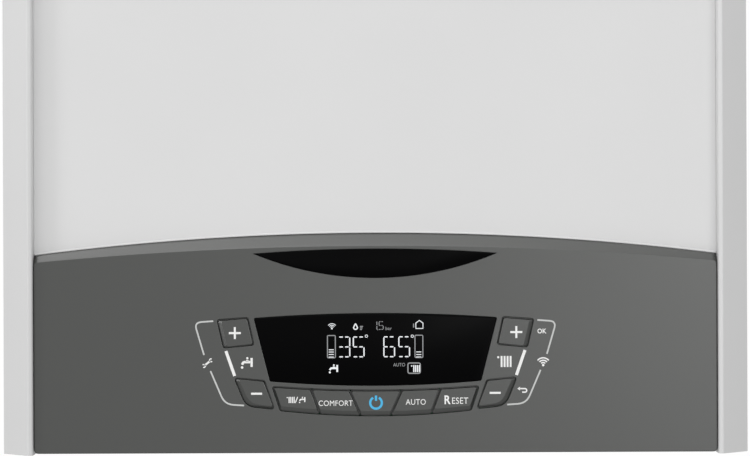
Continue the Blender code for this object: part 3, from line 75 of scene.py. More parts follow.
finishes = {
    "casingWhite": {"color": (0.70, 0.70, 0.70), "rough": 0.70, "grain": 900, "bump": 0.00002, "vary": 0.012},
    "fasciaGrey": {"color": (0.037, 0.039, 0.036), "rough": 0.34, "grain": 2600, "bump": 0.00001,
                   "vary": 0.03, "specular": 0.80},
    "keyGrey": {"color": (0.032, 0.034, 0.031), "rough": 0.29, "grain": 2900, "bump": 0.00001,
                "vary": 0.03, "specular": 0.80},
    "lensBlack": {"color": (0.0004, 0.0004, 0.0005), "rough": 0.30, "grain": 40, "vary": 0.02,
                  "specular": 0.040},
    "printWhite": {"color": (0.86, 0.86, 0.85), "rough": 0.55, "grain": 3000, "vary": 0.02},
    "printGrey": {"color": (0.56, 0.57, 0.56), "rough": 0.55, "grain": 3000, "vary": 0.02},
    "mattBlack": {"color": (0.018, 0.018, 0.019), "rough": 0.62, "grain": 1400, "bump": 0.00006, "vary": 0.1},
    "mattGrey": {"color": (0.24, 0.245, 0.25), "rough": 0.58, "grain": 1400, "bump": 0.00005, "vary": 0.06},
    "redEnamel": {"color": (0.42, 0.022, 0.016), "rough": 0.38, "grain": 420, "bump": 0.00005, "vary": 0.06,
                  "coat": 0.2},
    "glazedWhite": {"color": (0.78, 0.76, 0.71), "rough": 0.25, "grain": 600, "bump": 0.00002, "vary": 0.03},
}

metalFinishes = {
    "zincSheet": {"color": (0.46, 0.47, 0.48), "rough": 0.50, "spangle": 190},
    "stainless": {"color": (0.62, 0.61, 0.59), "rough": 0.27, "brush": 700.0},
    "castAlloy": {"color": (0.52, 0.52, 0.53), "rough": 0.50, "pits": 1100},
    "drawnCopper": {"color": (0.72, 0.34, 0.19), "rough": 0.28, "brush": 260.0, "stain": (0.32, 0.16, 0.10)},
    "turnedBrass": {"color": (0.74, 0.54, 0.25), "rough": 0.30, "brush": 900.0},
    "platedSteel": {"color": (0.66, 0.65, 0.62), "rough": 0.25, "pits": 2400},
}

glows = {
    "displayGlow": {"color": (0.86, 0.88, 0.90), "strength": 1.0},
    "displayDim": {"color": (0.86, 0.88, 0.90), "strength": 0.30},
    "powerGlow": {"color": (0.050, 0.420, 0.720), "strength": 1.0},
}

board = {"scale": 160, "green": (0.012, 0.13, 0.045, 1), "paleGreen": (0.014, 0.16, 0.055, 1),
         "track": (0.03, 0.26, 0.09, 1), "grain": 700, "rough": (0.30, 0.48)}

# how strongly each pattern shows
texture = {"rampEnds": (0.30, 0.70), "broadScale": 9.0, "roughSwing": 0.04, "coatRough": 0.04,
           "brushStretch": (0.04, 1, 1), "spangleSwing": (0.95, 1.03), "metalSwing": (0.88, 1.08),
           "metalRough": (-0.05, 0.06), "pitDepth": 0.00012, "stainScale": 22.0,
           "glowBase": 0.03, "glowRough": 0.4, "glowGrain": 260.0, "glowLeast": 0.94}

made = {}


def startMaterial(name):
    material = bpy.data.materials.new(name)
    material.use_nodes = True
    made[name] = material
    tree = material.node_tree
    return tree, tree.nodes["Principled BSDF"], tree.nodes.new("ShaderNodeTexCoord").outputs["Object"]


def feed(tree, node, sockets):
    # each socket takes a plain value, or a link from another node's output
    for socket, value in sockets.items():
        if isinstance(value, bpy.types.NodeSocket):
            tree.links.new(value, node.inputs[socket])
        else:
            node.inputs[socket].default_value = value


def addNode(tree, kind, sockets):
    node = tree.nodes.new("ShaderNode" + kind)
    feed(tree, node, sockets)
    return node


def noiseNode(tree, place, scale, detail, stretch=(1, 1, 1)):
    mapped = addNode(tree, "Mapping", {"Vector": place, "Scale": stretch}).outputs["Vector"]
    return addNode(tree, "TexNoise", {"Vector": mapped, "Scale": scale, "Detail": detail}).outputs["Fac"]


def blendColor(tree, factor, low, high):
    ramp = addNode(tree, "ValToRGB", {"Fac": factor})
    for stop, position, color in zip(ramp.color_ramp.elements, texture["rampEnds"], (low, high)):
        stop.position = position
        stop.color = (*color, 1)
    return ramp.outputs["Color"]


def spread(tree, factor, low, high):
    return addNode(tree, "MapRange", {"Value": factor, "To Min": low, "To Max": high}).outputs["Result"]


def bumpNode(tree, height, distance):
    return addNode(tree, "Bump", {"Height": height, "Distance": distance}).outputs["Normal"]


def scaled(color, factor):
    return tuple(min(1.0, part * factor) for part in color)


def makeFinish(name, values):
    tree, shader, place = startMaterial(name)
    color, vary = values["color"], values["vary"]
    rough, swing = values["rough"], texture["roughSwing"]
    broad = noiseNode(tree, place, texture["broadScale"], 2.0)
    fine = noiseNode(tree, place, values["grain"], 4.0)
    feed(tree, shader, {
        "Base Color": blendColor(tree, broad, scaled(color, 1 - vary), scaled(color, 1 + vary)),
        "Roughness": spread(tree, fine, rough - swing, rough + swing),
    })
    if "bump" in values:
        feed(tree, shader, {"Normal": bumpNode(tree, fine, values["bump"])})
    if "specular" in values:
        feed(tree, shader, {"Specular IOR Level": values["specular"]})
    if "coat" in values:
        feed(tree, shader, {"Coat Weight": values["coat"], "Coat Roughness": texture["coatRough"]})


def makeMetal(name, values):
    tree, shader, place = startMaterial(name)
    (low, high), (less, more) = texture["metalSwing"], texture["metalRough"]
    if "spangle" in values:
        cells = addNode(tree, "TexVoronoi", {"Vector": place, "Scale": values["spangle"]})
        parts = addNode(tree, "SeparateColor", {"Color": cells.outputs["Color"]})
        pattern = parts.outputs["Red"]
        low, high = texture["spangleSwing"]
    elif "brush" in values:
        pattern = noiseNode(tree, place, values["brush"], 3.0, texture["brushStretch"])
    else:
        pattern = noiseNode(tree, place, values["pits"], 4.0)
        feed(tree, shader, {"Normal": bumpNode(tree, pattern, texture["pitDepth"])})
    color, rough = values["color"], values["rough"]
    if "stain" in values:
        cloud = noiseNode(tree, place, texture["stainScale"], 5.0)
        tone = blendColor(tree, cloud, color, values["stain"])
    else:
        tone = blendColor(tree, pattern, scaled(color, low), scaled(color, high))
    feed(tree, shader, {"Metallic": 1.0, "Base Color": tone,
                        "Roughness": spread(tree, pattern, rough + less, rough + more)})


def makeGlow(name, values):
    tree, shader, place = startMaterial(name)
    color = values["color"]
    uneven = noiseNode(tree, place, texture["glowGrain"], 1.0)
    feed(tree, shader, {
        "Base Color": (*scaled(color, texture["glowBase"]), 1),
        "Roughness": texture["glowRough"],
        "Emission Color": blendColor(tree, uneven, scaled(color, texture["glowLeast"]), color),
        "Emission Strength": values["strength"],
    })


def makeBoard(name):
    tree, shader, place = startMaterial(name)
    tracks = addNode(tree, "TexBrick", {"Vector": place, "Scale": board["scale"], "Color1": board["green"],
                                        "Color2": board["paleGreen"], "Mortar": board["track"]})
    fine = noiseNode(tree, place, board["grain"], 3.0)
    feed(tree, shader, {"Base Color": tracks.outputs["Color"],
                        "Roughness": spread(tree, fine, *board["rough"])})


for maker, group in ((makeFinish, finishes), (makeMetal, metalFinishes), (makeGlow, glows)):
    for name, values in group.items():
        maker(name, values)
makeBoard("circuitBoard")
print("materials made:", len(made))


def paint(piece, name):
    piece.data.materials.clear()
    piece.data.materials.append(made[name])


nodeFinish = {
    "zincSheet": ["rear_frame", "hanging_rail", "bottom_plate", "front_crossbar", "hinge_bracket_left",
                  "hinge_bracket_right", "chamber_box", "chamber_cover"],
    "casingWhite": ["side_panel_left", "side_panel_right", "top_cover", "front_cover", "flue_collar"],
    "fasciaGrey": ["control_fascia"],
    "keyGrey": [name for name in nodes if name.startswith("button_")],
    "lensBlack": ["badge_lens", "display_window"],
    "circuitBoard": ["display_board", "main_board"],
    "mattBlack": ["control_box_back", "fan_impeller", "fan_motor", "mixture_duct", "return_group",
                  "pump_motor", "pump_impeller", "flow_group", "cable_gland"],
    "mattGrey": ["flue_duct", "condensate_trap", "diverter_motor", "safety_valve_knob", "filling_knob"],
    "stainless": ["heat_exchanger", "burner", "diverter_spindle", "plate_exchanger", "vessel_hose"],
    "castAlloy": ["burner_door", "fan_housing", "gas_mixer", "gas_valve"],
    "drawnCopper": ["gas_pipe", "flow_pipe", "return_pipe"],
    "turnedBrass": ["heating_flow_union", "hot_water_union", "gas_union", "cold_water_union",
                    "heating_return_union"],
    "redEnamel": ["expansion_vessel"],
    "glazedWhite": ["ignition_electrode"],
}
for finish, names in nodeFinish.items():
    for name in names:
        paint(nodes[name], finish)


# Shapes

def newObject(name, data):
    item = bpy.data.objects.new(name, data)
    bpy.context.scene.collection.objects.link(item)
    return item


def addPiece(name, mesh, finish, body):
    piece = newObject(name, mesh)
    paint(piece, finish)
    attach(piece, body)
    return piece


def meshFrom(bm, name):
    bmesh.ops.remove_doubles(bm, verts=bm.verts, dist=0.000001)
    bmesh.ops.recalc_face_normals(bm, faces=bm.faces)
    if bm.calc_volume(signed=True) < 0:
        bmesh.ops.reverse_faces(bm, faces=bm.faces)
    mesh = bpy.data.meshes.new(name)
    bm.to_mesh(mesh)
    bm.free()
    return mesh


def softShade(mesh, angle):
    mesh.shade_smooth()
    mesh.set_sharp_from_angle(angle=math.radians(angle))


def addFlatPiece(name, mesh, angle, finish, body):
    # wide flat faces keep their own normals beside small rounded edges
    softShade(mesh, angle)
    piece = addPiece(name, mesh, finish, body)
    change = piece.modifiers.new("flat faces", "WEIGHTED_NORMAL")
    change.keep_sharp = True
    change.weight = 100
    return piece


def edgePoint(start, end, bulge, t):
    # bulge is how far the edge swells out of a counter-clockwise outline
    if abs(bulge) < 1e-7:
        return start.lerp(end, t)
    chord = end - start
    halfChord = chord.length / 2
    radius = (halfChord ** 2 + bulge ** 2) / (2 * abs(bulge))
    halfAngle = math.asin(halfChord / radius)
    angle = (2 * t - 1) * halfAngle
    along = chord.normalized()
    outwards = Vector((along.y, -along.x)) * math.copysign(1, bulge)
    rise = radius * (math.cos(angle) - math.cos(halfAngle))
    return (start + end) / 2 + along * radius * math.sin(angle) + outwards * rise


def bend(start, corner, end, t):
    return (1 - t) ** 2 * start + 2 * t * (1 - t) * corner + t ** 2 * end


def roundedOutline(corners, steps=24, cornerSteps=5):
    # each corner is (x, height, corner radius, bulge of the edge after it), counter-clockwise
    places = [Vector(corner[:2]) for corner in corners]
    count = len(places)
    trims = []
    for i in range(count):
        back = (places[i - 1] - places[i]).normalized()
        onward = (places[(i + 1) % count] - places[i]).normalized()
        trims.append(max(corners[i][2], 0.00002) / math.tan(back.angle(onward) / 2))
    points = []
    for i in range(count):
        j, k = (i + 1) % count, (i + 2) % count
        start, end, beyond = places[i], places[j], places[k]
        length = (end - start).length
        first, last = trims[i] / length, 1 - trims[j] / length
        cuts = steps if abs(corners[i][3]) > 1e-7 else 2
        points += [edgePoint(start, end, corners[i][3], first + (last - first) * n / cuts)
                   for n in range(cuts + 1)]
        tail, goal = points[-1], edgePoint(end, beyond, corners[j][3], trims[j] / (beyond - end).length)
        points += [bend(tail, end, goal, n / cornerSteps) for n in range(1, cornerSteps)]
    return points


def fourSided(low, high, corner, topCorner, lowBulge=0, topBulge=0, **steps):
    # low and high are the lower and the upper edge's (half width, height)
    (lowHalf, lowZ), (topHalf, topZ) = low, high
    return roundedOutline([(-lowHalf, lowZ, corner, lowBulge), (lowHalf, lowZ, corner, 0),
                           (topHalf, topZ, topCorner, topBulge), (-topHalf, topZ, topCorner, 0)], **steps)


def flipped(points):
    return [Vector((-point.x, point.y)) for point in reversed(points)]


def grown(points, distance):
    moved = []
    for i, point in enumerate(points):
        before = (point - points[i - 1]).normalized()
        after = (points[(i + 1) % len(points)] - point).normalized()
        normal = Vector((before.y + after.y, -before.x - after.x)).normalized()
        lean = max(0.5, normal.dot(Vector((after.y, -after.x))))
        moved.append(point + normal * distance / lean)
    return moved


def joinRings(bm, sections):
    # sections are lists of 3D points, all with the same number of points, closed at both ends
    rings = [[bm.verts.new(point) for point in section] for section in sections]
    for ring, following in zip(rings, rings[1:]):
        for i in range(len(ring)):
            j = (i + 1) % len(ring)
            bm.faces.new((ring[i], ring[j], following[j], following[i]))
    bm.faces.new(rings[0])
    bm.faces.new(list(reversed(rings[-1])))


def loftMesh(name, sections):
    bm = bmesh.new()
    joinRings(bm, sections)
    return meshFrom(bm, name)


def atDepth(points, depth):
    return [Vector((point.x, depth, baseZ + point.y)) for point in points]


def softPlate(name, points, front, rear, edge, steps=3):
    # a plate with its front edge rounded over
    sections = []
    for n in range(steps + 1):
        angle = math.pi / 2 * n / steps
        inset, sink = edge * (1 - math.sin(angle)), edge * (1 - math.cos(angle))
        sections.append(atDepth(grown(points, -inset), front + sink))
    sections.append(atDepth(points, rear))
    mesh = loftMesh(name, sections)
    softShade(mesh, 50)
    return mesh


def evaluatedMesh(item):
    graph = bpy.context.evaluated_depsgraph_get()
    graph.update()
    return bpy.data.meshes.new_from_object(item.evaluated_get(graph))


def applyCuts(mesh, cutters):
    # the mesh with the cutters' shapes removed
    work = newObject("cutWork", mesh)
    tools = [newObject("cutTool", cutter) for cutter in cutters]
    for tool in tools:
        change = work.modifiers.new("cut", "BOOLEAN")
        change.operation = "DIFFERENCE"
        change.object = tool
        change.solver = "EXACT"
    result = evaluatedMesh(work)
    for item in [work, *tools]:
        bpy.data.objects.remove(item, do_unlink=True)
    return result


# Casing sides

pillar = {"chamferWidth": 0.0149, "chamferDepth": 0.0150, "noseWidth": 0.0023, "noseReturn": 0.0180,
          "noseLean": 0.35, "sheet": 0.0012, "bends": [0.0012, 0.0010, 0.0013], "edge": 0.0004}


def filletPath(points, radii, steps=6):
    # an open path in the plane, with its inner corners rounded
    path = [points[0]]
    for before, corner, after, radius in zip(points, points[1:], points[2:], radii):
        back = (before - corner).normalized()
        onward = (after - corner).normalized()
        trim = radius / math.tan(back.angle(onward) / 2)
        start, end = corner + back * trim, corner + onward * trim
        path += [bend(start, corner, end, n / steps) for n in range(steps + 1)]
    path.append(points[-1])
    return path


def sideSkin(name, side):
    noseOuter = casingHalf - pillar["chamferWidth"]
    noseInner = noseOuter - pillar["noseWidth"]
    corners = [
        Vector((casingHalf, sideHigh.y)),
        Vector((casingHalf, noseY + pillar["chamferDepth"])),
        Vector((noseOuter, noseY)),
        Vector((noseInner, noseY + pillar["noseWidth"] * pillar["noseLean"])),
        Vector((noseInner, noseY + pillar["noseReturn"])),
    ]
    path = filletPath(corners, pillar["bends"])
    bm = bmesh.new()
    low, high = [[bm.verts.new((side * point.x, point.y, z)) for point in path]
                 for z in (sideLow.z, sideHigh.z)]
    for i in range(len(path) - 1):
        bm.faces.new((low[i], low[i + 1], high[i + 1], high[i]))
    mesh = meshFrom(bm, name)
    if mesh.polygons[0].normal.x * side <= 0:
        mesh.flip_normals()
    piece = addPiece(name, mesh, "casingWhite", "casing")
    solid = piece.modifiers.new("thickness", "SOLIDIFY")
    solid.thickness = pillar["sheet"]
    solid.offset = -1
    solid.use_even_offset = True
    edge = piece.modifiers.new("edges", "BEVEL")
    edge.width = pillar["edge"]
    edge.segments = 2
    edge.limit_method = "ANGLE"
    edge.angle_limit = math.radians(50)
    softShade(mesh, 40)
    return piece


leftSkin = sideSkin("casing_side_left", -1)
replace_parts(leftSkin, "side_panel_left")
rightSkin = sideSkin("casing_side_right", 1)
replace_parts(rightSkin, "side_panel_right")


# White front cover

cover = {"sheet": 0.0012, "edge": 0.00015, "lowCorner": 0.0004, "gapAboveFascia": 0.0002,
         "topCorner": 0.004, "sideGap": 0.00004}
bead = {"height": 0.0011, "proud": 0.0004, "root": 0.0004, "lengthSteps": 72, "roundSteps": 8}
fasciaShape = {
    # the arches' heights are those at the sides and in the middle
    "arch": (0.1056, 0.1171), "faceArch": (0.1024, 0.1109), "bevelDepth": 0.0045, "leastBevel": 0.5,
    "corner": 0.0025, "leastCorner": 0.0006, "edge": 0.0006, "wall": 0.0025,
}
coverHalf = casingHalf - pillar["chamferWidth"] - pillar["noseWidth"] - cover["sideGap"]
coverFoot = fasciaShape["arch"][0] + cover["gapAboveFascia"]
archRise = fasciaShape["arch"][1] - fasciaShape["arch"][0]
overshoot = 0.01               # how far a cutting shape runs out behind what it cuts


def coverOutline(inset, corner):
    half, high = coverHalf - inset, coverHigh.z - baseZ - inset
    return fourSided((half, coverFoot + inset), (half, high), corner, cover["topCorner"] - inset,
                     -archRise, steps=48)


def frontCover():
    shell = softPlate("frontCoverSkin", coverOutline(0, cover["lowCorner"]), coverY, coverHigh.y,
                      cover["edge"], 4)
    hollow = coverOutline(cover["sheet"], cover["lowCorner"] / 2)
    inside = loftMesh("coverInside", [atDepth(hollow, coverY + cover["sheet"]),
                                      atDepth(hollow, coverHigh.y + overshoot)])
    mesh = applyCuts(shell, [inside])
    return addFlatPiece("front_cover_skin", mesh, 30, "casingWhite", "front_cover")


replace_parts(frontCover(), "front_cover")


def coverBead():
    # a slight roll along the cover's arched lower edge
    half = coverHalf - cover["lowCorner"]
    start, end = Vector((-half, coverFoot)), Vector((half, coverFoot))
    sections = []
    for n in range(bead["lengthSteps"] + 1):
        point = edgePoint(start, end, -archRise, n / bead["lengthSteps"])
        foot = baseZ + point.y
        section = [Vector((point.x, coverY + bead["root"], foot))]
        for k in range(bead["roundSteps"] + 1):
            angle = math.pi * k / bead["roundSteps"]
            section.append(Vector((point.x, coverY - bead["proud"] * math.sin(angle),
                                   foot + bead["height"] * (1 - math.cos(angle)) / 2)))
        section.append(Vector((point.x, coverY + bead["root"], foot + bead["height"])))
        sections.append(section)
    mesh = loftMesh("cover_lower_roll", sections)
    softShade(mesh, 40)
    addPiece("cover_lower_roll", mesh, "casingWhite", "front_cover")


coverBead()
print("casing skins made")


# Control fascia, with its apertures

badge = {"half": 0.0652, "tip": 0.1065, "high": 0.1090, "low": 0.0933, "depth": 0.0016}
window = {
    # half width, height at the sides and height in the middle of its upper and lower edges
    "top": (0.0650, 0.0721, 0.0745), "low": (0.0564, 0.0383, 0.0358), "corner": 0.0009,
}
keySizes = {
    "gap": 0.0006, "proud": 0.0003, "skirt": 0.0040, "corner": 0.0010, "rowGap": 0.0009,
    "plus": [(0.0653, 0.0580), (0.0808, 0.0566), (0.0841, 0.0709), (0.0683, 0.0720)],
    "minus": [(0.0545, 0.0238), (0.0690, 0.0254), (0.0749, 0.0398), (0.0596, 0.0384)],
    "minusRadius": 0.0080, "rowTop": (0.0548, 0.0352, 0.0330), "rowLow": (0.0507, 0.0230, 0.0201),
    "dividers": [(-0.0344, -0.0297), (-0.0137, -0.0080), (0.0137, 0.0080), (0.0344, 0.0297)],
}


def crescent(shrink=0.0, steps=48):
    left, right = Vector((-badge["half"], badge["tip"])), Vector((badge["half"], badge["tip"]))
    lower = [edgePoint(left, right, badge["tip"] - badge["low"], n / steps) for n in range(steps)]
    upper = [edgePoint(right, left, badge["high"] - badge["tip"], n / steps) for n in range(steps)]
    return grown(lower + upper, -shrink)


def windowOutline():
    (topHalf, topSide, topMid), (lowHalf, lowSide, lowMid) = window["top"], window["low"]
    corner = window["corner"]
    return fourSided((lowHalf, lowSide), (topHalf, topSide), corner, corner,
                     lowSide - lowMid, topMid - topSide)


def keyOutline(corners, radii, bulges=(0, 0, 0, 0)):
    rows = [(x, z, radius, bulge) for (x, z), radius, bulge in zip(corners, radii, bulges)]
    return roundedOutline(rows, steps=12, cornerSteps=6)


def sagAt(half, side, mid, x):
    sag = side - mid
    radius = (half ** 2 + sag ** 2) / (2 * sag)
    return mid + radius - math.sqrt(radius ** 2 - x ** 2)


def rowTop(x):
    return sagAt(*keySizes["rowTop"], x)


def rowLow(x):
    return sagAt(*keySizes["rowLow"], x)


def rowKeyCorners(left, right, lift=0.0):
    # left and right are (x at the top, x at the bottom); lift raises the lower edge
    (leftTop, leftLow), (rightTop, rightLow) = left, right
    share = lift / (rowTop(0) - rowLow(0))
    leftLow += (leftTop - leftLow) * share
    rightLow += (rightTop - rightLow) * share
    lowSag = (rowLow(leftLow) + rowLow(rightLow)) / 2 - rowLow((leftLow + rightLow) / 2)
    topSag = (rowTop(leftTop) + rowTop(rightTop)) / 2 - rowTop((leftTop + rightTop) / 2)
    corners = [(leftLow, rowLow(leftLow) + lift), (rightLow, rowLow(rightLow) + lift),
               (rightTop, rowTop(rightTop)), (leftTop, rowTop(leftTop))]
    return corners, (lowSag, 0, -topSag, 0)


topHalf, lowHalf = keySizes["rowTop"][0], keySizes["rowLow"][0]
rowEnds = [(-topHalf, -lowHalf), *keySizes["dividers"], (topHalf, lowHalf)]
smallCorner = keySizes["corner"]
plusRadii = [smallCorner] * 4
minusRadii = [smallCorner, keySizes["minusRadius"], smallCorner, smallCorner]
plusShape = keyOutline(keySizes["plus"], plusRadii)
minusShape = keyOutline(keySizes["minus"], minusRadii)
rowCorners, rowBulges = rowKeyCorners(rowEnds[0], rowEnds[-1])
rowShape = keyOutline(rowCorners, [smallCorner] * 4, rowBulges)


def archOutline(name, inset=0.0):
    sideHeight, midHeight = fasciaShape[name]
    corner = max(fasciaShape["corner"] - inset, fasciaShape["leastCorner"])
    half = fasciaHalf - inset
    return fourSided((half, inset), (half, sideHeight - inset), corner, corner, 0, midHeight - sideHeight,
                     steps=72)


aperture = {"start": 0.0004, "flare": 0.0003, "badgeFlare": 0.0002, "roundShare": 0.3, "beyondWall": 0.002}


def flared(points, rear, flare):
    # an opening with a small rounded lead-in at the face
    part = aperture["roundShare"]
    return loftMesh("cutter", [
        atDepth(grown(points, flare * 2), faceY - aperture["start"]),
        atDepth(grown(points, flare), faceY),
        atDepth(grown(points, flare * part), faceY + flare * part),
        atDepth(points, faceY + flare),
        atDepth(points, rear),
    ])


def fasciaBody():
    full, face = archOutline("arch"), archOutline("faceArch")
    edge, wall = fasciaShape["edge"], fasciaShape["wall"]
    widest = fasciaShape["arch"][1] - fasciaShape["faceArch"][1]

    def bevelRing(share, fall, extra=0.0):
        # the bevel keeps its slope, so it is shallower towards the sides, where it is narrower
        ring = []
        for near, far in zip(face, full):
            point = near.lerp(far, share)
            depth = fasciaShape["bevelDepth"] * max(fasciaShape["leastBevel"], (far - near).length / widest)
            ring.append(Vector((point.x, faceY + depth * fall + extra, baseZ + point.y)))
        return ring

    body = loftMesh("fasciaBody", [
        atDepth(grown(face, -edge), faceY),
        atDepth(grown(face, -edge * 0.3), faceY + edge * 0.3),
        bevelRing(0.06, 0.0, edge),
        bevelRing(0.84, 0.84),
        bevelRing(0.96, 0.97),
        bevelRing(1.0, 1.0, edge),
        atDepth(full, fasciaHigh.y),
    ])
    hollow = archOutline("faceArch", wall)
    through = faceY + wall + aperture["beyondWall"]
    cutters = [loftMesh("cutter", [atDepth(hollow, faceY + wall), atDepth(hollow, fasciaHigh.y + overshoot)]),
               flared(crescent(), faceY + badge["depth"], aperture["badgeFlare"]),
               flared(windowOutline(), through, aperture["flare"])]
    for shape in (plusShape, flipped(plusShape), minusShape, flipped(minusShape), rowShape):
        cutters.append(flared(grown(shape, keySizes["gap"]), through, aperture["flare"]))
    mesh = applyCuts(body, cutters)
    return addFlatPiece("fascia_moulding", mesh, 28, "fasciaGrey", "control_panel")


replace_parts(fasciaBody(), "control_fascia")

lens = {"gap": 0.00012, "proud": 0.0002, "depth": 0.0020, "edge": 0.0005, "badgeEdge": 0.0003}
lensY = faceY - lens["proud"]
badgeRear = faceY + badge["depth"] - lens["gap"]
badgeMesh = softPlate("badge_blank", crescent(lens["gap"]), lensY, badgeRear, lens["badgeEdge"])
badgeLens = addPiece("badge_blank", badgeMesh, "lensBlack", "control_panel")
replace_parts(badgeLens, "badge_lens")
windowMesh = softPlate("display_lens", grown(windowOutline(), -lens["gap"]), lensY,
                       faceY + lens["depth"], lens["edge"])
windowLens = addPiece("display_lens", windowMesh, "lensBlack", "control_panel")
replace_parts(windowLens, "display_window")
print("fascia made")


# Keys: a face with its outer or lower side sloped back

keyLooks = {"slope": 0.0018, "rowSlope": 0.0020, "fall": 0.00105, "edge": 0.00020, "trim": 0.0003,
            "minusFoot": 0.6, "rowEnd": 0.5, "flange": 0.00042, "flangeDepth": 0.0008}
keyStem = {"wide": 0.0022, "narrow": 0.0018, "overlap": 0.001, "sides": 20}
keyFaceY = faceY - keySizes["proud"]


def keyCap(name, body, outer, face):
    edge, skirt = keyLooks["edge"], keyFaceY + keySizes["skirt"]
    collar, collarY = grown(outer, keyLooks["flange"]), skirt - keyLooks["flangeDepth"]
    mesh = loftMesh(name, [
        atDepth(grown(face, -edge), keyFaceY),
        atDepth(face, keyFaceY + edge * 0.4),
        atDepth(outer, keyFaceY + keyLooks["fall"]),
        atDepth(outer, collarY),
        atDepth(collar, collarY),
        atDepth(collar, skirt),
    ])
    return addFlatPiece(name, mesh, 25, "keyGrey", body)


def movedCorners(corners, shifts):
    return [(x + dx, z + dz) for (x, z), (dx, dz) in zip(corners, shifts)]


slope, trim = keyLooks["slope"], keyLooks["trim"]
foot = slope * keyLooks["minusFoot"]
plusShifts = [(trim, trim), (-slope, trim), (-slope, -trim), (trim, -trim)]
minusShifts = [(trim, foot), (-slope, foot), (-slope, -trim), (trim, -trim)]
plusFace = keyOutline(movedCorners(keySizes["plus"], plusShifts), plusRadii)
minusFace = keyOutline(movedCorners(keySizes["minus"], minusShifts), minusRadii)


def placeKey(name, outer, face):
    cap = keyCap(name + "_cap", name, outer, face)
    low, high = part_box(name)
    front, overlap = faceY + keySizes["skirt"], keyStem["overlap"]
    middle = Vector(((low.x + high.x) / 2, (high.y + front - overlap) / 2, (low.z + high.z) / 2))
    stem = bmesh.new()
    bmesh.ops.create_cone(stem, cap_ends=True, segments=keyStem["sides"], radius1=keyStem["wide"],
                          radius2=keyStem["narrow"], depth=high.y - front + overlap,
                          matrix=Matrix.Translation(middle) @ Matrix.Rotation(-math.pi / 2, 4, "X"))
    addPiece(name + "_stem", meshFrom(stem, name + "_stem"), "keyGrey", name)
    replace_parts(cap, name)


placeKey("button_heating_plus", plusShape, plusFace)
placeKey("button_water_plus", flipped(plusShape), flipped(plusFace))
placeKey("button_heating_minus", minusShape, minusFace)
placeKey("button_water_minus", flipped(minusShape), flipped(minusFace))
rowNames = ["button_mode", "button_comfort", "button_power", "button_auto", "button_reset"]
half, endSlope = keySizes["rowGap"] / 2, keyLooks["slope"] * keyLooks["rowEnd"]
for i, name in enumerate(rowNames):
    first, last = i == 0, i == len(rowNames) - 1
    left = tuple(x if first else x + half for x in rowEnds[i])
    right = tuple(x if last else x - half for x in rowEnds[i + 1])
    outerCorners, outerBulges = rowKeyCorners(left, right)
    faceLeft = tuple(x + (endSlope if first else trim) for x in left)
    faceRight = tuple(x - (endSlope if last else trim) for x in right)
    faceCorners, faceBulges = rowKeyCorners(faceLeft, faceRight, keyLooks["rowSlope"])
    faceCorners = movedCorners(faceCorners, [(0, 0), (0, 0), (0, -trim), (0, -trim)])
    placeKey(name, keyOutline(outerCorners, plusRadii, outerBulges),
             keyOutline(faceCorners, plusRadii, faceBulges))
print("keys made")


# Printed marks: thin flat strips and shapes just off the surface that carries them

ink = {"lift": 0.00006, "thickness": 0.00008}
# where a mark lies: the depth of its surface, its body and its slot
onPanel = (faceY, "control_panel", "dark_plastic")
onDisplay = (lensY, "control_panel", "black_gloss")


def flatBits(name, outlines, finish, surface):
    # one mesh from many closed outlines, each a thin plate on the surface
    surfaceY, body, slot = surface
    bm = bmesh.new()
    rear = surfaceY - ink["lift"]
    for points in outlines:
        joinRings(bm, [atDepth(points, rear - ink["thickness"]), atDepth(points, rear)])
    mesh = bpy.data.meshes.new(name)
    bmesh.ops.recalc_face_normals(bm, faces=bm.faces)
    bm.to_mesh(mesh)
    bm.free()
    addPiece(name, mesh, finish, body)


def stripAlong(path, width, closed=False):
    # the two edges of a stroke drawn along an open or a closed line
    left, right = [], []
    count = len(path)
    for i, point in enumerate(path):
        before = path[i - 1] if (i or closed) else path[0]
        after = path[(i + 1) % count] if (i < count - 1 or closed) else path[-1]
        along = (after - before).normalized()
        across = Vector((-along.y, along.x)) * width / 2
        left.append(point + across)
        right.append(point - across)
    return left, right


def strip(path, width):
    left, right = stripAlong(path, width)
    return right + list(reversed(left))


def ringStrips(path, width):
    # a closed line as short quads, so that no outline folds back on itself
    left, right = stripAlong(path, width, True)
    return [[right[i - 1], right[i], left[i], left[i - 1]] for i in range(len(path))]


def bar(x, z, width, height):
    halfWidth, halfHeight = width / 2, height / 2
    return line((x - halfWidth, z - halfHeight), (x + halfWidth, z - halfHeight),
                (x + halfWidth, z + halfHeight), (x - halfWidth, z + halfHeight))


def arcLine(x, z, radius, startAngle, endAngle, steps=12):
    turns = [math.radians(startAngle + (endAngle - startAngle) * n / steps) for n in range(steps + 1)]
    return [Vector((x + radius * math.cos(turn), z + radius * math.sin(turn))) for turn in turns]


def disc(x, z, radius, steps=16):
    return arcLine(x, z, radius, 0, 360, steps)[:-1]


def line(*places):
    return [Vector(place) for place in places]


def bentLine(places, radius):
    return filletPath(line(*places), [radius])


def bothSides(outlines):
    return outlines + [flipped(points) for points in outlines]


# Frame lines and bars round the keys

surround = {
    "stroke": 0.00085, "barStroke": 0.0016, "topBend": 0.0030, "lowBend": 0.0075,
    "top": [(-0.0865, 0.0706), (-0.0966, 0.0699), (-0.0915, 0.0525)],
    "low": [(-0.0881, 0.0440), (-0.0805, 0.0262), (-0.0702, 0.0255)],
    "bar": [(-0.0798, 0.0546), (-0.0752, 0.0413)],
}
outerLine = [strip(bentLine(surround[part], surround[part + "Bend"]), surround["stroke"])
             for part in ("top", "low")]
flatBits("surround_line", bothSides(outerLine), "printGrey", onPanel)
sideBar = strip(line(*surround["bar"]), surround["barStroke"])
flatBits("surround_bars", bothSides([sideBar]), "printWhite", onPanel)


# Small symbols, drawn about their own middle

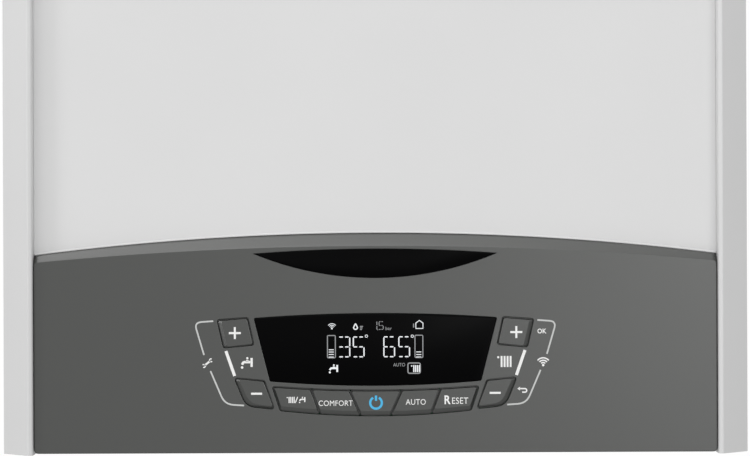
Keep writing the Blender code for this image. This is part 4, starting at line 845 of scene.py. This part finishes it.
def moved(outlines, x, z):
    return [[point + Vector((x, z)) for point in points] for points in outlines]


def sized(outlines, factor):
    return [[point * factor for point in points] for points in outlines]


tap = {"drawn": 0.0066, "spout": 0.0013, "bend": 0.0012, "handle": 0.0006, "drop": 0.0007}
radiator = {"drawn": 0.0059, "ribs": 4, "pitch": 0.0016, "rib": 0.0010, "dot": 0.0006}
spanner = {"reach": (0.0014, 0.0011), "jaws": (0.0019, 0.0015), "jaw": 0.0008, "handle": 0.0010,
           "stroke": 0.0006}
signal = {"drawn": 0.0066, "foot": -0.0019, "dot": 0.00068, "waves": (0.0014, 0.0026, 0.0039)}
flame = {"high": 0.0020, "low": 0.00095, "half": 0.00105, "narrowing": 0.7, "drop": 0.0005,
         "points": 28, "stroke": 0.0006}


def tapSymbol(size):
    neck = line((-0.0009, 0.0009), (0.0011, 0.0009), (0.0006, 0.0017), (-0.0004, 0.0017))
    spout = bentLine([(0.0019, 0.0005), (-0.0020, 0.0005), (-0.0027, -0.0009)], tap["bend"])
    bits = [bar(0.0024, 0.0003, 0.0012, 0.0048), disc(0.0001, 0.0026, tap["handle"]), neck,
            strip(spout, tap["spout"]), disc(-0.0027, -0.0024, tap["drop"])]
    return sized(bits, size / tap["drawn"])


def radiatorSymbol(size):
    bits = [bar(radiator["pitch"] * n - 0.0012, 0, radiator["rib"], radiator["drawn"])
            for n in range(radiator["ribs"])]
    bits.append(disc(-0.0030, 0.0023, radiator["dot"]))
    return sized(bits, size / radiator["drawn"])


def spannerSymbol():
    (x, z), (jawX, jawZ), jaw = spanner["reach"], spanner["jaws"], spanner["jaw"]
    return [strip(line((-x, -z), (x, z)), spanner["handle"]),
            strip(arcLine(jawX, jawZ, jaw, 60, 320), spanner["stroke"]),
            strip(arcLine(-jawX, -jawZ, jaw, 240, 500), spanner["stroke"])]


def signalSymbol(size, stroke=0.00070):
    bits = [disc(0, signal["foot"], signal["dot"], 14)]
    bits += [strip(arcLine(0, signal["foot"], radius, 40, 140), stroke) for radius in signal["waves"]]
    return sized(bits, size / signal["drawn"])


def returnSymbol():
    turn = arcLine(0.0014, -0.00035, 0.00095, 90, -90)
    shaft = strip(line((-0.0014, 0.0006)) + turn + line((-0.0001, -0.0013)), 0.00070)
    head = line((-0.0027, 0.0006), (-0.0012, -0.0004), (-0.0012, 0.0016))
    return [shaft, head]


def flameSymbol():
    points = []
    for n in range(flame["points"]):
        angle = math.tau * n / flame["points"] - math.pi / 2
        rise = math.sin(angle)
        half = flame["half"] * (1 - flame["narrowing"] * max(0.0, rise))
        points.append(Vector((half * math.cos(angle),
                              flame["high" if rise > 0 else "low"] * rise - flame["drop"])))
    return ringStrips(points, flame["stroke"])


def houseSymbol():
    walls = line((-0.0019, -0.0021), (0.0019, -0.0021), (0.0019, 0.0008), (0, 0.0022), (-0.0019, 0.0008))
    return ringStrips(walls, 0.0005)


symbols = moved(spannerSymbol(), -0.0897, 0.0482) + moved(tapSymbol(0.0066), -0.0685, 0.0482)
symbols += moved(radiatorSymbol(0.0059), 0.0685, 0.0485) + moved(signalSymbol(0.0066), 0.0895, 0.0484)
symbols += moved(returnSymbol(), 0.0783, 0.0334)
flatBits("panel_symbols", symbols, "printWhite", onPanel)


lettering = {"sizeForCapitals": 1.42, "spacing": 1.04, "curveSteps": 4, "weld": 0.0000005}


def word(name, values, finish, surface):
    # in Blender's own plain face, stretched or narrowed to its width and its capitals' height
    surfaceY, body, slot = surface
    curve = bpy.data.curves.new(name, "FONT")
    curve.body = values["text"]
    curve.size = values["height"] * lettering["sizeForCapitals"]
    curve.extrude = ink["thickness"] / 2
    curve.resolution_u = lettering["curveSteps"]
    curve.space_character = lettering["spacing"]
    curve.offset = values.get("bold", 0.0)
    item = newObject(name, curve)
    mesh = evaluatedMesh(item)
    bpy.data.objects.remove(item, do_unlink=True)
    work = bmesh.new()
    work.from_mesh(mesh)
    bmesh.ops.remove_doubles(work, verts=work.verts, dist=lettering["weld"])
    (left, right), (foot, top) = [(min(row), max(row)) for row in
                                  zip(*((vertex.co.x, vertex.co.y) for vertex in work.verts))]
    stretch, tall = values["width"] / (right - left), values["height"] / (top - foot)
    x, z = values["place"]
    middleY = surfaceY - ink["lift"] - ink["thickness"] / 2
    for vertex in work.verts:
        across, up, out = vertex.co
        vertex.co = (x + (across - (left + right) / 2) * stretch, middleY - out,
                     baseZ + z + (up - (foot + top) / 2) * tall)
    work.to_mesh(mesh)
    work.free()
    addPiece(name, mesh, finish, body)


confirmWord = {"text": "OK", "height": 0.0026, "place": (0.0889, 0.0647), "width": 0.0048, "bold": 0.00008}
word("confirm_word", confirmWord, "printWhite", onPanel)


def keyBits(name, outlines, x, z, finish="printWhite"):
    flatBits(name + "_mark", moved(outlines, x, z), finish, (keyFaceY, name, "dark_plastic"))


def signBits(size, stroke, upright):
    bits = [bar(0, 0, size, stroke)]
    if upright:
        half = (size - stroke) / 4
        bits += [bar(0, stroke / 2 + half, stroke, half * 2), bar(0, -stroke / 2 - half, stroke, half * 2)]
    return bits


signs = {"plus": 0.0064, "minus": 0.0059, "stroke": 0.0011}
for name, x, z in (("water_plus", -0.0750, 0.0642), ("heating_plus", 0.0752, 0.0642),
                   ("water_minus", -0.0635, 0.0318), ("heating_minus", 0.0638, 0.0318)):
    kind = name.split("_")[1]
    keyBits("button_" + name, signBits(signs[kind], signs["stroke"], kind == "plus"), x, z)
modeBits = moved(radiatorSymbol(0.0033), -0.0033, 0) + moved(tapSymbol(0.0036), 0.0031, 0)
modeBits += [strip(line((-0.0007, -0.0016), (0.0006, 0.0016)), 0.0005)]
keyBits("button_mode", modeBits, -0.0422, 0.0284)
power = {"radius": 0.0031, "stroke": 0.0012, "barHeight": 0.0025, "barLength": 0.0028}
powerBits = [strip(arcLine(0, 0, power["radius"], 120, 420, 36), power["stroke"]),
             bar(0, power["barHeight"], power["stroke"], power["barLength"])]
keyBits("button_power", powerBits, 0.0002, 0.0267, "powerGlow")
keyWords = {
    "button_comfort_word": {"text": "COMFORT", "height": 0.0029, "place": (-0.0213, 0.0266),
                            "width": 0.0182},
    "button_auto_word": {"text": "AUTO", "height": 0.0030, "place": (0.0214, 0.0271), "width": 0.0107},
    "button_reset_letter": {"text": "R", "height": 0.0047, "place": (0.0384, 0.0282), "width": 0.0033,
                            "bold": 0.00016},
    "button_reset_word": {"text": "ESET", "height": 0.0034, "place": (0.0451, 0.0277), "width": 0.0086},
}
for name, values in keyWords.items():
    word(name, values, "printWhite", (keyFaceY, name.rsplit("_", 1)[0], "dark_plastic"))
print("printed marks made")


# Display figures, just off the black lens

def hexBar(x, z, length, thickness, upright=False):
    # a segment with pointed ends
    half, side = length / 2, thickness / 2
    points = [(-half, 0), (-half + side, -side), (half - side, -side),
              (half, 0), (half - side, side), (-half + side, side)]
    if upright:
        points = [(-b, a) for a, b in points]
    return [Vector((x + a, z + b)) for a, b in points]


figureShape = {"stroke": 0.00062, "dash": 0.34, "split": 0.15, "shift": 0.035, "notch": 0.00030}
lit = {"3": "abgcd", "5": "afgcd", "6": "afgecd"}
display = {
    "figures": [("3", -0.0197), ("5", -0.0121), ("6", 0.0042), ("5", 0.0122)],
    "width": 0.0063, "low": 0.0510, "high": 0.0622,
    "degrees": [(-0.0048, 0.0623), (0.0197, 0.0622)], "degree": 0.00065, "degreeStroke": 0.00030,
    "gauges": [(-0.0236, (0.0551, 0.0539, 0.0526, 0.0512)), (0.0231, (0.0538, 0.0524, 0.0511))],
    "gaugeBar": (0.0027, 0.00045), "gaugeFrames": (-0.0235, 0.0232), "gaugeHalf": 0.0021,
    "pumpBars": (0.0010, 0.0013, 0.0016),
}


def figure(digit, left, right, low, high, stroke):
    # a seven-segment figure whose level bars are split in two
    span = right - left
    middle, centre = (low + high) / 2, (left + right) / 2
    dash, split = figureShape["dash"] * span, figureShape["split"] * span
    tall = (high - low) / 2 - stroke / 2 - figureShape["notch"]
    levels = {"a": high - stroke / 2, "g": middle, "d": low + stroke / 2}
    sides = {"f": (left + stroke / 2, 1), "b": (right - stroke / 2, 1), "e": (left + stroke / 2, -1),
             "c": (right - stroke / 2, -1)}
    bits = []
    for part in lit[digit]:
        if part in levels:
            place = centre - figureShape["shift"] * span
            bits += [hexBar(place + way * (dash + split) / 2, levels[part], dash, stroke)
                     for way in (-1, 1)]
        else:
            x, way = sides[part]
            bits.append(hexBar(x, middle + way * (high - low - stroke) / 4, tall, stroke, True))
    return bits


def roundedFrame(x, half, low, high, corner, stroke):
    outline = fourSided((half, low), (half, high), corner, corner, steps=2, cornerSteps=4)
    return moved(ringStrips(outline, stroke), x, 0)


glowBits = []
for digit, left in display["figures"]:
    glowBits += figure(digit, left, left + display["width"], display["low"], display["high"],
                       figureShape["stroke"])
for x, z in display["degrees"]:
    glowBits += ringStrips(disc(x, z, display["degree"], 20), display["degreeStroke"])
for x, heights in display["gauges"]:
    glowBits += [bar(x, z, *display["gaugeBar"]) for z in heights]
glowBits += moved(signalSymbol(0.0044, 0.00055), -0.0232, 0.0677) + moved(flameSymbol(), -0.0106, 0.0674)
glowBits += moved(houseSymbol(), 0.0235, 0.0684) + moved(tapSymbol(0.0051), -0.0223, 0.0449)
glowBits += moved(radiatorSymbol(0.0037), 0.0212, 0.0449)
dimBits = []
for x in display["gaugeFrames"]:
    dimBits += roundedFrame(x, display["gaugeHalf"], 0.0508, 0.0627, 0.0006, 0.0005)
for n, length in enumerate(display["pumpBars"]):
    dimBits.append(bar(-0.0082 + length / 2, 0.0659 + 0.0008 * n, length, 0.0005))
dimBits += [bar(0.0008, 0.0668, 0.0004, 0.0018), bar(0.0008, 0.0691, 0.0004, 0.0018),
            disc(0.0013, 0.0657, 0.00022, 10)]
dimBits += figure("5", 0.0018, 0.0044, 0.0657, 0.0702, 0.00038)
dimBits += [bar(0.0204, 0.0680, 0.0005, 0.0018), line((0.0199, 0.0674), (0.0204, 0.0667), (0.0209, 0.0674))]
dimBits += roundedFrame(0.0206, 0.0033, 0.0424, 0.0479, 0.0010, 0.0006)
flatBits("display_outlines", dimBits, "displayDim", onDisplay)
flatBits("display_figures", glowBits, "displayGlow", onDisplay)
displayWords = {
    "display_unit": {"text": "bar", "height": 0.0017, "place": (0.0071, 0.0664), "width": 0.0033},
    "display_auto": {"text": "AUTO", "height": 0.0018, "place": (0.0126, 0.0470), "width": 0.0063},
}
for name, values in displayWords.items():
    word(name, values, "displayDim", onDisplay)
print("display made")


# Screws and nuts that hold the pieces behind the cover

headShapes = {
    # share of the radius, share of the height, 1 where six-sided
    "hexagon": [(1, 0, 0), (1, 0.2, 0), (0.9, 0.3, 0), (0.74, 0.3, 1), (0.74, 0.88, 1), (0.62, 1, 0)],
    "socket": [(1, 0, 0), (1, 0.35, 0), (0.86, 0.8, 0), (0.6, 1, 0), (0.42, 1, 1), (0.4, 0.45, 1)],
}
towards = {"front": (0, -1, 0), "rear": (0, 1, 0), "up": (0, 0, 1), "down": (0, 0, -1)}
headSteps = 24
headSink = 0.0001              # how far a head is let into the plate it holds


def ringReach(angle, sixSided):
    if not sixSided:
        return 1.0
    return math.cos(math.pi / 6) / math.cos(angle % (math.pi / 3) - math.pi / 6)


def fastenings(name, screw, places, side, body="casing"):
    kind, radius, height = screw["head"]
    bm = bmesh.new()
    turn = Vector(towards[side]).to_track_quat("Z", "Y")
    for place in places:
        sections = []
        for share, level, sixSided in headShapes[kind]:
            section = []
            for n in range(headSteps):
                angle = math.tau * n / headSteps
                reach = radius * share * ringReach(angle, sixSided)
                spot = (math.cos(angle) * reach, math.sin(angle) * reach, height * level - headSink)
                section.append(Vector(place) + turn @ Vector(spot))
            sections.append(section)
        joinRings(bm, sections)
    mesh = meshFrom(bm, name)
    softShade(mesh, 30)
    addPiece(name, mesh, "platedSteel", body)


def around(screw, x, y, z, flat=False):
    # places on a circle, upright across the front or lying flat
    places = []
    for n in range(screw["count"]):
        angle = math.tau * (n + 0.5) / screw["count"]
        across, along = screw["circle"] * math.cos(angle), screw["circle"] * math.sin(angle)
        places.append((x + across, y + along, z) if flat else (x + across, y, z + along))
    return places


def bothWays(distance):
    return -distance, distance


# each head is its kind, radius and height
lidScrew = {"head": ("hexagon", 0.0050, 0.0022), "side": 0.012, "top": 0.020, "foot": 0.014, "inner": 0.062,
            "rows": 5}
low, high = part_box("chamber_cover")
side, top, foot = high.x - lidScrew["side"], high.z - lidScrew["top"], low.z + lidScrew["foot"]
levels = [foot + (top - foot) * n / (lidScrew["rows"] - 1) for n in range(lidScrew["rows"])]
places = [*product(bothWays(side), [low.y], levels),
          *product(bothWays(lidScrew["inner"]), [low.y], (foot, top))]
fastenings("chamber_cover_screws", lidScrew, places, "front")

doorNut = {"head": ("hexagon", 0.0070, 0.0055), "circle": 0.073, "back": 0.010, "count": 6}
low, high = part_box("burner_door")
places = around(doorNut, 0, high.y - doorNut["back"], (low.z + high.z) / 2)
fastenings("burner_door_nuts", doorNut, places, "front")

fanScrew = {"head": ("socket", 0.0042, 0.0028), "circle": 0.047, "top": 0.055, "count": 4}
low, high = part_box("fan_housing")
places = around(fanScrew, (low.x + high.x) / 2, low.y, high.z - fanScrew["top"])
fastenings("fan_housing_screws", fanScrew, places, "front")

valveScrew = {"head": ("socket", 0.0030, 0.0022), "side": 0.026, "back": 0.060, "levels": (0.0065, 0.0435)}
low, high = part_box("gas_valve")
levels = [low.z + level for level in valveScrew["levels"]]
places = product(bothWays(valveScrew["side"]), [high.y - valveScrew["back"]], levels)
fastenings("gas_valve_screws", valveScrew, places, "front")

pumpBolt = {"head": ("socket", 0.0025, 0.0028), "circle": 0.0411, "back": 0.006, "centre": 0.044, "count": 4}
low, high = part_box("pump_motor")
places = around(pumpBolt, (low.x + high.x) / 2, high.y - pumpBolt["back"], low.z + pumpBolt["centre"])
fastenings("pump_motor_bolts", pumpBolt, places, "front")

boxScrew = {"head": ("socket", 0.0035, 0.0022), "side": 0.164, "edge": 0.012}
low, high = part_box("control_box_back")
levels = (low.z + boxScrew["edge"], high.z - boxScrew["edge"])
places = product(bothWays(boxScrew["side"]), [high.y], levels)
fastenings("control_box_screws", boxScrew, places, "rear", "control_panel")

plateScrew = {"head": ("hexagon", 0.0050, 0.0024), "side": 0.187, "front": 0.016, "back": 0.014}
low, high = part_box("bottom_plate")
depths = (low.y + plateScrew["front"], high.y - plateScrew["back"])
fastenings("bottom_plate_screws", plateScrew, product(bothWays(plateScrew["side"]), depths, [low.z]), "down")

topScrew = {"head": ("hexagon", 0.0050, 0.0024), "side": 0.186, "depths": (-0.268, -0.030)}
low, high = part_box("top_cover")
places = product(bothWays(topScrew["side"]), topScrew["depths"], [high.z])
fastenings("top_cover_screws", topScrew, places, "up")

flueScrew = {"head": ("socket", 0.0034, 0.0022), "circle": 0.0583, "top": 0.042, "count": 4}
low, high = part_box("flue_collar")
places = around(flueScrew, 0, (low.y + high.y) / 2, high.z - flueScrew["top"], True)
fastenings("flue_collar_screws", flueScrew, places, "up")
print("screws and nuts made")


# Pale floor well below the appliance, so that its underside is still open to the light

room = {"floorDrop": 2.40, "reach": 16.0, "tone": (0.93, 0.93, 0.93), "seenGlow": 0.50}
floorHeight, reach = cadBounds[0][2] - room["floorDrop"], room["reach"]
floorMesh = bpy.data.meshes.new("studio_floor")
floorMesh.from_pydata([(-reach, -reach, floorHeight), (reach, -reach, floorHeight),
                       (reach, reach, floorHeight), (-reach, reach, floorHeight)], [], [(0, 1, 2, 3)])
floor = newObject("studio_floor", floorMesh)
makeFinish("studioFloor", {"color": room["tone"], "vary": 0.01, "rough": 0.8, "grain": 3.0})
floorMesh.materials.append(made["studioFloor"])
floorTree = made["studioFloor"].node_tree
floorRays = floorTree.nodes.new("ShaderNodeLightPath")
glow = spread(floorTree, floorRays.outputs["Is Camera Ray"], 0, room["seenGlow"])
feed(floorTree, floorTree.nodes["Principled BSDF"],
     {"Emission Color": (1, 1, 1, 1), "Emission Strength": glow})


# World: white behind the object and in its reflections, softer where it lights it

skyLight = {"seen": 1.0, "lighting": 0.56}
world = bpy.data.worlds.new("studio")
bpy.context.scene.world = world
world.use_nodes = True
worldTree = world.node_tree
rays = worldTree.nodes.new("ShaderNodeLightPath")
seen = rays.outputs["Is Camera Ray"]
for ray in ("Is Glossy Ray", "Is Transmission Ray"):
    either = addNode(worldTree, "Math", {0: seen, 1: rays.outputs[ray]})
    either.operation = "MAXIMUM"
    seen = either.outputs["Value"]
feed(worldTree, worldTree.nodes["Background"], {
    "Color": (1, 1, 1, 1), "Strength": spread(worldTree, seen, skyLight["lighting"], skyLight["seen"])})


# Lamps

lamps = {
    "side": {"place": (-2.57, -1.78, -0.45), "size": (0.7, 1.2), "power": 15.0,
             "aim": (-0.20, -0.30, -0.45)},
    "panel": {"place": (0.98, -2.8, -0.45), "size": (1.2, 0.8), "power": 11.5,
              "aim": (0.98, -0.30, -0.45)},
    "main": {"place": (-0.6, -2.2, 1.9), "size": (2.2, 1.9), "power": 37.5, "aim": (0, -0.30, -0.35)},
}
for name, values in lamps.items():
    lampData = bpy.data.lights.new(name, "AREA")
    lampData.shape = "RECTANGLE"
    lampData.size, lampData.size_y = values["size"]
    lampData.energy = values["power"]
    lamp = newObject(name, lampData)
    place = Vector(values["place"])
    lamp.location = place
    lamp.rotation_mode = "QUATERNION"
    lamp.rotation_quaternion = (Vector(values["aim"]) - place).to_track_quat("-Z", "Y")
    lamp.visible_camera = False


# Camera, at the photograph's place

shot = {"away": 1.45, "height": 0.120, "lens": 130.4, "sensor": 36, "roll": 0.21, "clip": (0.05, 50)}
cameraData = bpy.data.cameras.new("camera")
cameraData.lens = shot["lens"]
cameraData.sensor_width = shot["sensor"]
cameraData.clip_start, cameraData.clip_end = shot["clip"]
camera = newObject("camera", cameraData)
eye = Matrix.Translation((0, faceY - shot["away"], baseZ + shot["height"]))
roll = Matrix.Rotation(math.radians(shot["roll"]), 4, "Y")
camera.matrix_world = eye @ roll @ Matrix.Rotation(math.pi / 2, 4, "X")
bpy.context.scene.camera = camera
bpy.context.scene.view_settings.view_transform = "Standard"
print("stage, lamps and camera made")
